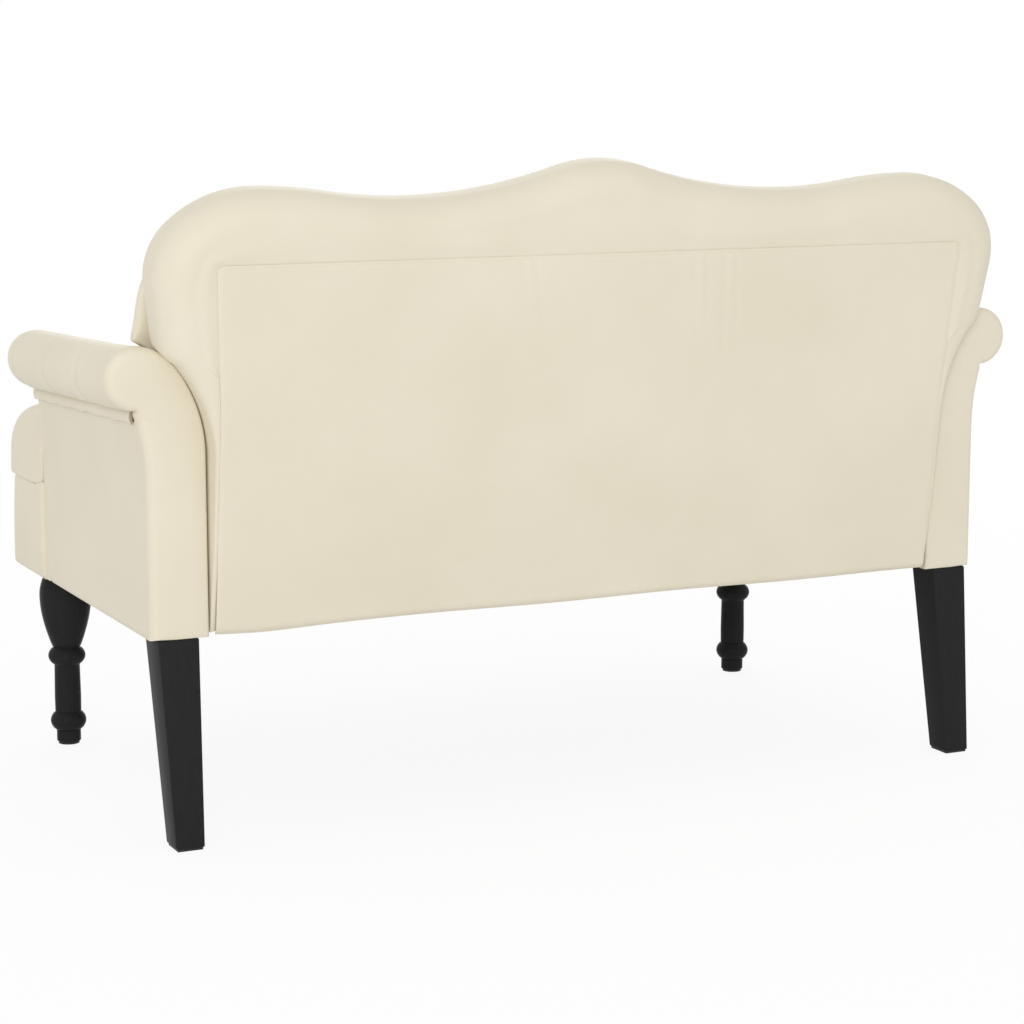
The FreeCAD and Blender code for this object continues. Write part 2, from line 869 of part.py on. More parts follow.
def panel_section(y):
    """Give the outside arm cover's section: upright, then flaring out under the roll."""
    drop = float(drop_at(y))
    outer = float(arm_outer)
    inner = outer - float(s.outside_cover)
    neck_z = float(roll_z) - drop - float(s.roll_radius + s.neck_drop)
    top_z = neck_z - float(s.band_height)
    flare_z = neck_z - float(s.flare_height)
    share = (top_z - flare_z) / float(s.flare_height)
    out = float(s.flare_out) * share * share
    half_out = out * 0.25
    half_z = (top_z + flare_z) / 2
    flat = [
        (inner, float(s.seat_underside)), (outer, float(s.seat_underside)), (outer, flare_z),
        (outer + out, top_z), (inner + out, top_z), (inner, flare_z),
    ]
    middles = {2: (outer + half_out, half_z), 4: (inner + half_out, half_z)}
    points = [FreeCAD.Vector(x, y, z) for x, z in flat]
    return wire(points, {number: FreeCAD.Vector(x, y, z) for number, (x, z) in middles.items()})


def band_section(y):
    """Give the tacking band's section: a narrow rounded strip between the roll and the outside cover."""
    drop = float(drop_at(y))
    neck_z = float(roll_z) - drop - float(s.roll_radius + s.neck_drop)
    bottom = neck_z - float(s.band_height) + band_gap
    top = neck_z + float(s.neck_drop) * 0.4
    back = float(arm_outer + s.band_back)
    face = float(arm_outer + s.flare_out) + 1
    flat = [(back, bottom), (face - 1, bottom), (face, top), (back, top)]
    middle = FreeCAD.Vector(face + float(s.band_proud), y, (bottom + top) / 2)
    return wire([FreeCAD.Vector(x, y, z) for x, z in flat], {1: middle})


for name, side in SIDES:
    # Bottom rail, with the bolt holes and the recess for the rear leg's nut
    blank = box(
        f"arm_bottom_rail_{name}_blank",
        span(side, arm_inner, arm_outer - s.outside_cover - s.clearance),
        (board_front, board_rear),
        (frame_bottom, arm_rail_top),
    )
    tools = [
        cylinder(
            f"arm_bottom_rail_{name}_hole_{number}",
            hole_diameter,
            s.bolt_reach + 1,
            span(side, arm_inner, arm_inner + s.bolt_reach + 1)[0],
            place_y,
            arm_bolt_height,
            "x",
        )
        for number, place_y in enumerate(arm_bolt_places, start=1)
    ]
    tools.append(cylinder(
        f"arm_bottom_rail_{name}_leg_hole", hole_diameter, s.arm_rail_height,
        side * leg_centre_x, leg_bolt_y, frame_bottom,
    ))
    tools.append(cylinder(
        f"arm_bottom_rail_{name}_recess", s.washer_width + 2 * s.bolt_clearance, arm_rail_top - recess_bottom,
        side * leg_centre_x, leg_bolt_y, recess_bottom,
    ))
    keep(cut(f"arm_bottom_rail_{name}", blank, *tools))

    # Scroll boards stand on the bottom rail, with the roll rail and the tacking rail between them.
    front_board_rear = board_front + s.board_thick
    keep(scroll_board(f"arm_front_board_{name}", side, front_board_rear, 0))
    keep(scroll_board(f"arm_rear_board_{name}", side, board_rear, 0))
    between_boards = (front_board_rear, board_rear - s.board_thick)
    roll_rail_top = roll_z - s.roll_radius - s.neck_drop - s.roll_drop - s.clearance
    roll_rail_inner = arm_inner + s.inside_padding + s.roll_rail_inset
    keep(box(
        f"arm_roll_rail_{name}",
        span(side, roll_rail_inner, arm_outer - s.outside_cover - s.roll_rail_inset),
        between_boards,
        (roll_rail_top - s.roll_rail_height, roll_rail_top),
    ))
    keep(box(
        f"arm_tack_rail_{name}",
        span(side, arm_inner + board_inset, arm_inner + board_inset + s.tack_rail_width),
        between_boards,
        (pad_foot, pad_foot + s.tack_rail_height),
    ))

    # Leather pad of the inside and the roll, with room for the boards and the sunk buttons
    pad_blank = form(f"arm_pad_{name}_blank", mirror_form(arm_pad_form, side))
    rooms = [
        scroll_board(f"arm_front_board_{name}_room", side, front_board_rear, s.clearance),
        scroll_board(f"arm_rear_board_{name}_room", side, board_rear, s.clearance),
    ]
    pockets = []
    for number, pleat in enumerate(pleats[:2], start=1):
        middle_z = button_height - drop_at(pleat)
        seat_x = arm_inner + button_pocket + 2
        pockets.append(cylinder(
            f"arm_pad_{name}_pocket_{number}", s.button_width + 2, seat_x - arm_inner + 20,
            span(side, arm_inner - 20, seat_x)[0], pleat, middle_z, "x",
        ))
        button = doc.addObject("Part::Ellipsoid", f"arm_button_{name}_{number}")
        button.Placement = FreeCAD.Placement(FreeCAD.Vector(), FreeCAD.Rotation(Y_AXIS, -90 * side))
        button.Angle1 = 0
        bind(button, "Radius1", s.button_rise)
        bind(button, "Radius2", s.button_width / 2)
        bind(button, "Radius3", s.button_width / 2)
        buttons.append(place(button, side * (seat_x - s.clearance), pleat, middle_z))
    keep(cut(f"arm_pad_{name}", pad_blank, *rooms, group(f"arm_pad_{name}_pockets", pockets)))

    # Outside cover, tacking band and the padded scroll facings at both ends
    cover_ends = (pad_rear, roll_front)
    keep(form(
        f"arm_outside_panel_{name}", mirror_form(loft([panel_section(y) for y in cover_ends]), side)
    ))
    keep(form(f"arm_tack_band_{name}", mirror_form(loft([band_section(y) for y in cover_ends]), side)))
    for end, rear_y, round_at in (
        ("front", facing_front + s.facing_thick, -float(s.facing_thick)),
        ("rear", facing_rear, 0.0),
    ):
        outline = scroll_path(0, 0, drop_at(rear_y), frame_bottom)
        body, pad = board(f"arm_{end}_facing_{name}", *mirrored(side, *outline), s.facing_thick)
        place(body, 0, rear_y, 0)

        def at_the_end(edge, level=round_at):
            box_of_edge = edge.BoundBox
            flat = abs(box_of_edge.YMin - level) < 0.01 and abs(box_of_edge.YMax - level) < 0.01
            return flat and box_of_edge.ZMax > float(frame_bottom) + 1

        round_edges(body, pad, s.facing_round, at_the_end)
        keep(body)
keep(group("arm_buttons", buttons))


# Back. Its outline is the camelback: tangent arcs from the crest to the shoulders and the corners.
def back_points(inset):
    """Give the tangent points and arc middles of half the camelback, moved inwards by inset."""
    crest_r = s.crest_radius - inset
    valley_r = (s.valley_place - s.crest_radius * sine(s.crest_slope)) / sine(s.crest_slope) + inset
    shoulder_x = arm_inner + s.back_wing - s.shoulder_inset
    swing_r = (shoulder_x - s.valley_place) / sine(s.shoulder_slope) / 2
    shoulder_r = s.shoulder_radius - inset
    corner_r = s.corner_radius - inset
    crest_z = s.crest_height - inset

    def along(x, z, radius, low, high, up):
        """Give the middle and end of an arc that turns from slope low to slope high."""
        half = (low + high) / 2
        ends = []
        for slope in (half, high):
            ends.append((
                x + radius * (sine(slope) - sine(low)) * up,
                z - radius * (cosine(low) - cosine(slope)) * up,
            ))
        return ends

    level = s.crest_slope * 0
    crest_mid, crest_end = along(s.crest_height * 0, crest_z, crest_r, level, s.crest_slope, 1)
    valley_mid, valley_end = along(*crest_end, valley_r, s.crest_slope, level, -1)
    rise_mid, rise_end = along(*valley_end, swing_r + inset, level, -s.shoulder_slope, -1)
    shoulder_mid, shoulder_end = along(*rise_end, swing_r - inset, -s.shoulder_slope, level, 1)
    knee_mid, knee_end = along(*shoulder_end, shoulder_r, level, s.corner_slope, 1)
    corner_mid, corner_end = along(*knee_end, corner_r, s.corner_slope, 90 + s.wing_slope, 1)
    return dict(
        crest=(s.crest_height * 0, crest_z),
        flank=crest_end,
        valley=(valley_mid, valley_end),
        rise=(rise_mid, rise_end),
        shoulder=(shoulder_mid, shoulder_end),
        knee=(knee_mid, knee_end),
        corner=(corner_mid, corner_end),
    )


def on_back(point):
    """Turn a place on the arm's rear facing into a place on the back's sloping face."""
    across, height = point
    behind = (s.back_foot - s.arm_rear) + (height - s.seat_underside) * sine(s.back_recline)
    return across, (height - s.seat_underside - behind * sine(s.back_recline)) / cosine(s.back_recline)


def back_half(inset):
    """Give the steps of half the back's outline, from the foot up to the crest's flank."""
    points = back_points(inset)
    spring, waist, hip, brow, top = [on_back(point) for point in scroll_points(-s.back_slit - inset, 0)]
    corner_mid, corner_end = points["corner"]
    wing_z = top[1] - 1
    slant = sine(s.wing_slope) / cosine(s.wing_slope)
    wing = (corner_end[0] - (corner_end[1] - wing_z) * slant, wing_z)
    start = (arm_inner - s.back_slit - inset, s.back_hem)
    steps = [
        (spring,),
        (waist, hip),
        (brow, wing),
        (corner_end,),
        (corner_mid, points["knee"][1]),
        (points["knee"][0], points["shoulder"][1]),
        (points["shoulder"][0], points["rise"][1]),
        (points["rise"][0], points["valley"][1]),
        (points["valley"][0], points["flank"]),
    ]
    return start, steps, points["crest"]


def whole(start, steps, crest):
    """Close half an outline over the crest and down the other side."""
    other_start, other_steps = mirrored(-1, start, steps)
    path = list(steps)
    path.append((crest, other_steps[-1][-1]))
    for number in range(len(other_steps) - 1, -1, -1):
        end = other_steps[number - 1][-1] if number else other_start
        path.append((*other_steps[number][:-1], end))
    path.append((start,))
    return start, path


def leaning_board(label, outline, rear_y, thick):
    body, pad = board(label, *outline, thick)
    place(body, 0, rear_y, 0, leans=True)
    return body, pad


slab, slab_pad = leaning_board("back_border_slab", whole(*back_half(0)), s.back_thick * 0, s.back_thick)
wing_level = float(on_back(scroll_points(0, 0)[4])[1]) + 6


def over_the_arms(edge):
    """Pick the front and rear edges of the back's outline above the arms."""
    box_of_edge = edge.BoundBox
    return box_of_edge.YLength < 0.01 and box_of_edge.ZMax > wing_level


round_edges(slab, slab_pad, s.back_round, over_the_arms)
frame_room, frame_room_pad = leaning_board(
    "back_frame_room", whole(*back_half(s.border_padding)), -s.border_rear, s.back_thick
)


def panel_outline(room):
    """Give the outside back panel's outline, widened by room for the opening it fills."""
    low = arm_inner - s.back_slit - s.panel_inset + room
    high = low + s.panel_flare
    top = s.panel_top + room
    radius = s.panel_corner
    hidden = radius * (1 - HALF_ROOT)
    foot = s.back_hem - room
    start = (low, foot)
    steps = [
        ((high, top - radius),),
        ((high - hidden, top - hidden), (high - radius, top)),
        ((-high + radius, top),),
        ((-high + hidden, top - hidden), (-high, top - radius)),
        ((-low, foot),),
        (start,),
    ]
    return start, steps


panel_room, panel_room_pad = leaning_board(
    "back_panel_room", panel_outline(s.clearance), s.clearance, s.back_thick / 2
)
seat_room = box(
    "back_seat_room",
    (-arm_inner, arm_inner),
    (rail_back_of_front, s.seat_rear + s.clearance),
    (s.seat_underside - 1, crease + s.clearance),
)
keep(cut("back_border", slab, frame_room, panel_room, seat_room))
panel, panel_pad = leaning_board("back_outside_panel", panel_outline(0), s.panel_thick * 0, s.panel_thick)
keep(panel)

# Back frame: posts, camelback top rail, middle rail and an upright bottom rail bolted to the seat box.
frame_rear = -s.board_inset
frame_front = frame_rear - s.board_depth
post_outer = arm_inner - s.back_slit - s.border_padding - s.clearance
post_inner = post_outer - s.post_width
top_rail_foot = s.panel_top - s.top_rail_lap
for name, side in SIDES:
    keep(box(
        f"back_post_{name}",
        span(side, post_inner, post_outer),
        (frame_front, frame_rear),
        (s.post_rise, top_rail_foot),
        leans=True,
    ))
top_inset = s.border_padding + s.clearance
rail_points = back_points(top_inset)
knee_foot = (rail_points["knee"][1][0], top_rail_foot)
top_rail_steps = [
    (rail_points["knee"][1],),
    (rail_points["knee"][0], rail_points["shoulder"][1]),
    (rail_points["shoulder"][0], rail_points["rise"][1]),
    (rail_points["rise"][0], rail_points["valley"][1]),
    (rail_points["valley"][0], rail_points["flank"]),
]
top_rail, top_rail_pad = leaning_board(
    "back_top_rail", whole(knee_foot, top_rail_steps, rail_points["crest"]), frame_rear, s.board_depth
)
keep(top_rail)
middle_rail_foot = s.pad_bottom + s.middle_rail_rise
middle_rail_levels = (middle_rail_foot, middle_rail_foot + s.middle_rail_height)
webbing_top = top_rail_foot + s.webbing_lap
keep(box(
    "back_middle_rail", (-post_inner, post_inner), (frame_front, frame_rear), middle_rail_levels, leans=True
))
bottom_rail_blank = box(
    "back_bottom_rail_blank",
    (-post_inner, post_inner),
    (s.seat_rear, s.seat_rear + s.bottom_rail_depth),
    (frame_bottom, frame_bottom + s.bottom_rail_height),
)
bottom_rail_holes = [
    cylinder(
        f"back_bottom_rail_hole_{number}",
        hole_diameter,
        s.bolt_reach - 10,
        place_x,
        s.seat_rear,
        back_bolt_height,
        "y",
    )
    for number, place_x in enumerate(back_bolt_places, start=1)
]
keep(cut("back_bottom_rail", bottom_rail_blank, group("back_bottom_rail_holes", bottom_rail_holes)))

# Upright webbing on the front of the frame, and the foam sheet over it
strap_count = int((post_inner - s.strap_width) // s.strap_pitch)
back_straps = []
for number in range(-strap_count, strap_count + 1):
    low_x = number * s.strap_pitch - s.strap_width / 2
    back_straps.append(box(
        f"back_strap_{number + strap_count + 1}",
        (low_x, low_x + s.strap_width),
        (frame_front - s.strap_thick, frame_front),
        (middle_rail_foot + 2 * s.strap_thick, webbing_top),
        leans=True,
    ))
keep(group("back_webbing", back_straps))
keep(box(
    "back_foam",
    (-post_inner, post_inner),
    (-s.back_thick + s.clearance, frame_front - s.strap_thick),
    (middle_rail_foot, webbing_top),
    leans=True,
))

# Inside back: a deep pad, sewn down at buttons in three staggered rows, that swells between them.
column_pitch = float(s.tuft_pitch) / 2
column_limit = int((float(arm_inner) - 60) // column_pitch)
outline_values = back_points(s.back_thick * 0)


def crest_line(x):
    """Give the camelback's height on the back at a place across it."""
    across = abs(x)
    chain = [
        ((0.0, float(outline_values["crest"][1])), float(s.crest_radius), 1, outline_values["flank"]),
        (outline_values["valley"][1], None, -1, outline_values["valley"][1]),
        (outline_values["valley"][1], None, -1, outline_values["rise"][1]),
        (outline_values["shoulder"][1], None, 1, outline_values["shoulder"][1]),
        (outline_values["shoulder"][1], float(s.shoulder_radius), 1, outline_values["knee"][1]),
    ]
    for (peak_x, peak_z), radius, up, end in chain:
        if across <= float(end[0]) + 0.001:
            break
    if radius is None:
        slope = float(s.crest_slope if end is outline_values["valley"][1] else s.shoulder_slope)
        swing = float(outline_values["shoulder"][1][0]) - float(s.valley_place)
        reach = swing / 2
        if end is outline_values["valley"][1]:
            reach = float(s.valley_place) - float(outline_values["flank"][0])
        radius = reach / math.sin(math.radians(slope))
    offset = min(abs(across - float(peak_x)), radius * 0.99)
    return float(peak_z) - up * (radius - math.sqrt(radius * radius - offset * offset))


def back_section(x, bottom, top, depths, knots, ends, flat):
    """Give the inside back's section at x: flat behind, sewn down or swelling at three knots in front."""
    outline = [(pad_back, bottom), (pad_back, top), (pad_back - ends[1], top)]
    middles = {}
    for knot, depth in zip(knots, depths):
        outline.append((pad_back - depth, knot + flat))
        outline.append((pad_back - depth, knot - flat))
    outline.append((pad_back - ends[0], bottom))
    for number in (2, 4, 6, 8):
        middles[number] = bulged(outline[number], outline[number + 1], 0.5)
    points = [FreeCAD.Vector(x, y, z) for y, z in outline]
    return wire(points, {number: FreeCAD.Vector(x, y, z) for number, (y, z) in middles.items()})


pad_top_gap = float(s.back_round) * 0.55
sections = []
for column in range(-column_limit, column_limit + 1):
    for edge_x in (column * column_pitch - half_flat, column * column_pitch + half_flat):
        depths = []
        for row, level in enumerate(rows):
            sewn = (row + column) % 2 == 0
            depths.append(swell(level) - float(s.tuft_depth) if sewn else swell(level) + float(s.pillow_rise))
        top = crest_line(edge_x) - pad_top_gap
        ends = (swell(pad_bottom), float(s.pad_edge))
        sections.append((edge_x, pad_bottom, top, depths, rows, ends, half_flat))
lean_spring, lean_waist, lean_hip, lean_brow = [
    on_back(point) for point in scroll_points(-s.back_slit - 3, 0)[:4]
]
side_x = float(arm_inner - s.back_slit)
spring_z = float(lean_spring[1]) + 2
edges = [
    (side_x - 22, pad_bottom, crest_line(side_x - 22) - pad_top_gap, 0.92),
    (side_x - 1.0, pad_bottom, crest_line(side_x) - pad_top_gap, 0.70),
    (side_x, spring_z, crest_line(side_x) - pad_top_gap, 0.70),
]
wing_stations = [
    (lean_waist, 5, 16, 4, 0.66),
    (lean_hip, 0, 3, 10, 0.58),
    (lean_brow, 0, 3, 26, 0.42),
    (lean_brow, 14, 10, 60, 0.12),
]
for (wing_x, wing_z), out, up, down, share in wing_stations:
    wing_top = crest_line(float(wing_x)) - pad_top_gap - down
    edges.append((float(wing_x) + out, float(wing_z) + up, wing_top, share))
for edge_x, bottom, top, share in edges:
    pitch = (top - bottom) / 4
    knots = [top - pitch, top - 2 * pitch, top - 3 * pitch]
    depths = [swell(knot) * share for knot in knots]
    for sign in (1, -1):
        ends = (depths[2] * 0.8, 8.0 * share)
        sections.append((sign * edge_x, bottom, top, depths, knots, ends, min(half_flat, pitch * 0.3)))
sections.sort(key=lambda section: section[0])
keep(form("back_inside_pad", loft([back_section(*section) for section in sections]), leans=True))

back_buttons = []
for column in range(-column_limit, column_limit + 1):
    for row, level in enumerate(rows):
        if (row + column) % 2 == 0:
            button = doc.addObject("Part::Ellipsoid", f"back_button_{column + column_limit + 1}_{row + 1}")
            button.Angle1 = 0
            turn = FreeCAD.Rotation(X_AXIS, 90 - float(s.back_recline))
            button.Placement = FreeCAD.Placement(FreeCAD.Vector(), turn)
            bind(button, "Radius1", s.button_rise)
            bind(button, "Radius2", s.button_width / 2)
            bind(button, "Radius3", s.button_width / 2)
            seat_y = pad_back - (swell(level) - float(s.tuft_depth)) - s.clearance
            row_z = s.tuft_top_row - row * s.tuft_row_pitch
            back_buttons.append(place(button, column * s.tuft_pitch / 2, *leaning(seat_y, row_z)))
keep(group("back_buttons", back_buttons))


# Front legs: turned feet with two rings and a vase, screwed to blocks in the ears of the seat box.
front_leg_x = arm_outer - s.front_leg_inset
front_leg_y = -s.apron_front + s.front_leg_setback


def turned_leg(label, x):
    foot = s.foot_diameter / 2
    ring = s.ring_diameter / 2
    stem = s.stem_diameter / 2
    collar = s.collar_diameter / 2
    vase = s.vase_diameter / 2
    top = s.leg_top_diameter / 2
    bottom = s.glide_thick
    bore = hole_diameter / 2
    bore_end = frame_bottom - s.bolt_reach - 1
    foot_top = bottom + s.foot_height
    ring_top = foot_top + s.ring_height
    stem_top = ring_top + s.stem_height
    collar_top = stem_top + s.collar_height
    vase_middle = collar_top + s.vase_height * 0.45
    vase_top = collar_top + s.vase_height
    shoulder_middle = vase_top + s.shoulder_height * 0.47
    start = (s.foot_diameter * 0, bottom)
    steps = [
        ((foot, bottom),),
        ((foot, foot_top),),
        ((stem - s.bead, foot_top),),
        ((ring, foot_top + s.ring_height / 2), (stem, ring_top)),
        ((stem - s.bead / 2, stem_top),),
        ((collar, stem_top + s.collar_height / 2), (stem, collar_top)),
        ((stem + s.bead, collar_top + s.bead),),
        ((vase - s.bead * 6, vase_middle), (vase, vase_top)),
        ((vase - s.bead * 2, shoulder_middle), (top + s.bead, vase_top + s.shoulder_height)),
        ((top, frame_bottom),),
        ((bore, frame_bottom),),
        ((bore, bore_end),),
        ((s.foot_diameter * 0, bore_end),),
        (start,),
    ]
    body, sketch = profile_body(label, start, steps)
    turning = body.newObject("PartDesign::Revolution", f"{label}_turning")
    turning.Profile = sketch
    turning.ReferenceAxis = (sketch, ["V_Axis"])
    turning.Angle = 360
    return place(body, x, front_leg_y, 0)


leg_blocks = []
bolts = []
nuts = []
washers = []
glides = []


def leg_fixing(label, x, y, seat_z):
    """Add the hanger bolt of a leg with its washer and nut, which bear on seat_z."""
    bottom = frame_bottom - s.bolt_reach
    washer_top = seat_z + s.washer_thick
    nut_top = washer_top + s.nut_height
    bolts.append(cylinder(f"leg_bolt_{label}", s.bolt_diameter, nut_top + 3 - bottom, x, y, bottom))
    blank = cylinder(f"leg_washer_blank_{label}", s.washer_width, s.washer_thick, x, y, seat_z)
    hole = cylinder(f"leg_washer_hole_{label}", hole_diameter, s.washer_thick, x, y, seat_z)
    washers.append(cut(f"leg_washer_{label}", blank, hole))
    nut = doc.addObject("Part::Prism", f"leg_nut_blank_{label}")
    nut.Polygon = 6
    bind(nut, "Circumradius", s.nut_width / 2 / math.cos(math.pi / 6))
    bind(nut, "Height", s.nut_height)
    place(nut, x, y, washer_top)
    bore = cylinder(f"leg_nut_bore_{label}", hole_diameter, s.nut_height, x, y, washer_top)
    nuts.append(cut(f"leg_nut_{label}", nut, bore))


for name, side in SIDES:
    keep(turned_leg(f"front_leg_{name}", side * front_leg_x))
    blank = box(
        f"front_leg_block_{name}_blank",
        span(side, arm_inner, seat_half - s.rail_thick),
        (rail_back_of_front, ear_rear - s.rail_thick),
        (frame_bottom, frame_bottom + s.leg_block),
    )
    bore = cylinder(
        f"front_leg_block_{name}_bore",
        hole_diameter,
        s.leg_block,
        side * front_leg_x,
        front_leg_y,
        frame_bottom,
    )
    leg_blocks.append(cut(f"front_leg_block_{name}", blank, bore))
    leg_fixing(f"front_{name}", side * front_leg_x, front_leg_y, frame_bottom + s.leg_block)
    glides.append(cylinder(
        f"front_glide_{name}",
        s.foot_diameter - 2 * s.glide_inset,
        s.glide_thick,
        side * front_leg_x,
        front_leg_y,
        0,
    ))

    # Rear legs: square and tapered, splayed backwards, bolted up through the arm's bottom rail
    blank = doc.addObject("Part::Wedge", f"rear_leg_{name}_blank")
    foot_y = leg_rear + s.rear_leg_splay - s.rear_leg_foot_depth / 2 - leg_centre_y
    for prop, size in dict(
        Ymin=s.glide_thick,
        Ymax=frame_bottom,
        Xmin=-s.rear_leg_foot_width / 2,
        Xmax=s.rear_leg_foot_width / 2,
        Zmin=-foot_y - s.rear_leg_foot_depth / 2,
        Zmax=-foot_y + s.rear_leg_foot_depth / 2,
        X2min=-s.rear_leg_top_width / 2,
        X2max=s.rear_leg_top_width / 2,
        Z2min=-s.rear_leg_top_depth / 2,
        Z2max=s.rear_leg_top_depth / 2,
    ).items():
        bind(blank, prop, size)
    blank.Placement = FreeCAD.Placement(FreeCAD.Vector(), FreeCAD.Rotation(X_AXIS, 90))
    place(blank, side * leg_centre_x, leg_centre_y, 0)
    bore = cylinder(
        f"rear_leg_{name}_bore",
        hole_diameter,
        s.bolt_reach + 1,
        side * leg_centre_x,
        leg_bolt_y,
        frame_bottom - s.bolt_reach - 1,
    )
    keep(cut(f"rear_leg_{name}", blank, bore))
    leg_fixing(f"rear_{name}", side * leg_centre_x, leg_bolt_y, recess_bottom)
    glide_x = s.rear_leg_foot_width / 2 - s.glide_inset
    glide_y = s.rear_leg_foot_depth / 2 - s.glide_inset
    glide_middle = leg_centre_y + foot_y
    glides.append(box(
        f"rear_glide_{name}",
        (side * leg_centre_x - glide_x, side * leg_centre_x + glide_x),
        (glide_middle - glide_y, glide_middle + glide_y),
        (s.glide_thick * 0, s.glide_thick),
    ))
keep(group("front_leg_blocks", leg_blocks))
keep(group("leg_bolts", bolts))
keep(group("leg_nuts", nuts))
keep(group("foot_glides", glides))

# Bolts that hold the arms and the back to the seat box, with their heads and washers inside it
frame_bolts = []


def frame_bolt(label, along, head, x, y, z):
    """Add a bolt along x or y whose washer bears at its place. head is the way its head points."""
    def shifted(start, length):
        low = min(float(start * head), float((start + length) * head))
        offset = start * head if low == float(start * head) else (start + length) * head
        return (x + offset, y, z) if along == "x" else (x, y + offset, z)

    shank_length = s.rail_thick + s.bolt_reach - 10 + s.washer_thick
    shank = cylinder(
        f"bolt_shank_{label}",
        s.bolt_diameter,
        shank_length,
        *shifted(s.washer_thick - shank_length, shank_length),
        along,
    )
    cap = cylinder(
        f"bolt_head_{label}", s.nut_width, s.nut_height, *shifted(s.washer_thick, s.nut_height), along
    )
    bolt = doc.addObject("Part::Fuse", f"frame_bolt_{label}")
    bolt.Base = shank
    bolt.Tool = cap
    frame_bolts.append(bolt)
    washer_place = shifted(s.washer_thick * 0, s.washer_thick)
    blank = cylinder(f"bolt_washer_blank_{label}", s.washer_width, s.washer_thick, *washer_place, along)
    hole = cylinder(f"bolt_washer_hole_{label}", hole_diameter, s.washer_thick, *washer_place, along)
    washers.append(cut(f"bolt_washer_{label}", blank, hole))


for name, side in SIDES:
    for number, place_y in enumerate(arm_bolt_places, start=1):
        frame_bolt(f"arm_{name}_{number}", "x", -side, side * side_rail_inner, place_y, arm_bolt_height)
for number, place_x in enumerate(back_bolt_places, start=1):
    frame_bolt(f"back_{number}", "y", -1, place_x, s.seat_rear - s.rail_thick, back_bolt_height)
keep(group("frame_bolts", frame_bolts))
keep(group("frame_washers", washers))

doc.recompute()
for piece in doc.Objects:
    if "Invalid" in piece.State or "Error" in piece.State:
        raise RuntimeError(f"{piece.Label} did not build: {piece.State}")
faulty = [piece.Label for piece in nodes if piece.Shape.isNull() or not piece.Shape.isValid()]
if faulty:
    raise RuntimeError(f"no valid shape: {', '.join(faulty)}")
for piece in nodes:
    piece.Shape.exportStep(f"parts/{piece.Label}.step")
print(len(nodes), "nodes written")
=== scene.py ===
import math
import mathutils
import bpy
import numpy as np
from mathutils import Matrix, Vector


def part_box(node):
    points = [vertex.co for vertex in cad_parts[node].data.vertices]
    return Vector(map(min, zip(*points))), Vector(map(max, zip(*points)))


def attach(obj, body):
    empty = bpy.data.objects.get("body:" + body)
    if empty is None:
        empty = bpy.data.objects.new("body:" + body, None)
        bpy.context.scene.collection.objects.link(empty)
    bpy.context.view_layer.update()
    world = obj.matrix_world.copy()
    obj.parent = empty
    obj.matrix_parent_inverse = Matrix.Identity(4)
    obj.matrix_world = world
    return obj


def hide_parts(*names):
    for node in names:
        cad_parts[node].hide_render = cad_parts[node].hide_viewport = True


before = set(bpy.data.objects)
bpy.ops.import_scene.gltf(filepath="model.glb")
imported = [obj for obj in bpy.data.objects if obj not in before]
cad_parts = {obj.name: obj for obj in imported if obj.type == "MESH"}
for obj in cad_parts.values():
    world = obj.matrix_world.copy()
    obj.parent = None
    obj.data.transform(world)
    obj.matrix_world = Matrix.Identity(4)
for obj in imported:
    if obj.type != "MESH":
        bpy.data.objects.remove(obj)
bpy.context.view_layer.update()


# Carcass: sawn pine rails, posts, corner blocks and tacking rails, planed and left bare, with
# plywood scroll boards and camelback rail. All of it is glued and bolted, and the covers hide it.
class Shade:
    """An output of a finish. Sums and products with it add Math nodes."""

    def __init__(self, finish, socket):
        self.finish = finish
        self.socket = socket

    def __add__(self, other):
        return self.finish.math("ADD", self, other)

    def __rsub__(self, other):
        return self.finish.math("SUBTRACT", other, self)

    def __mul__(self, other):
        return self.finish.math("MULTIPLY", self, other)

    __radd__ = __add__
    __rmul__ = __mul__


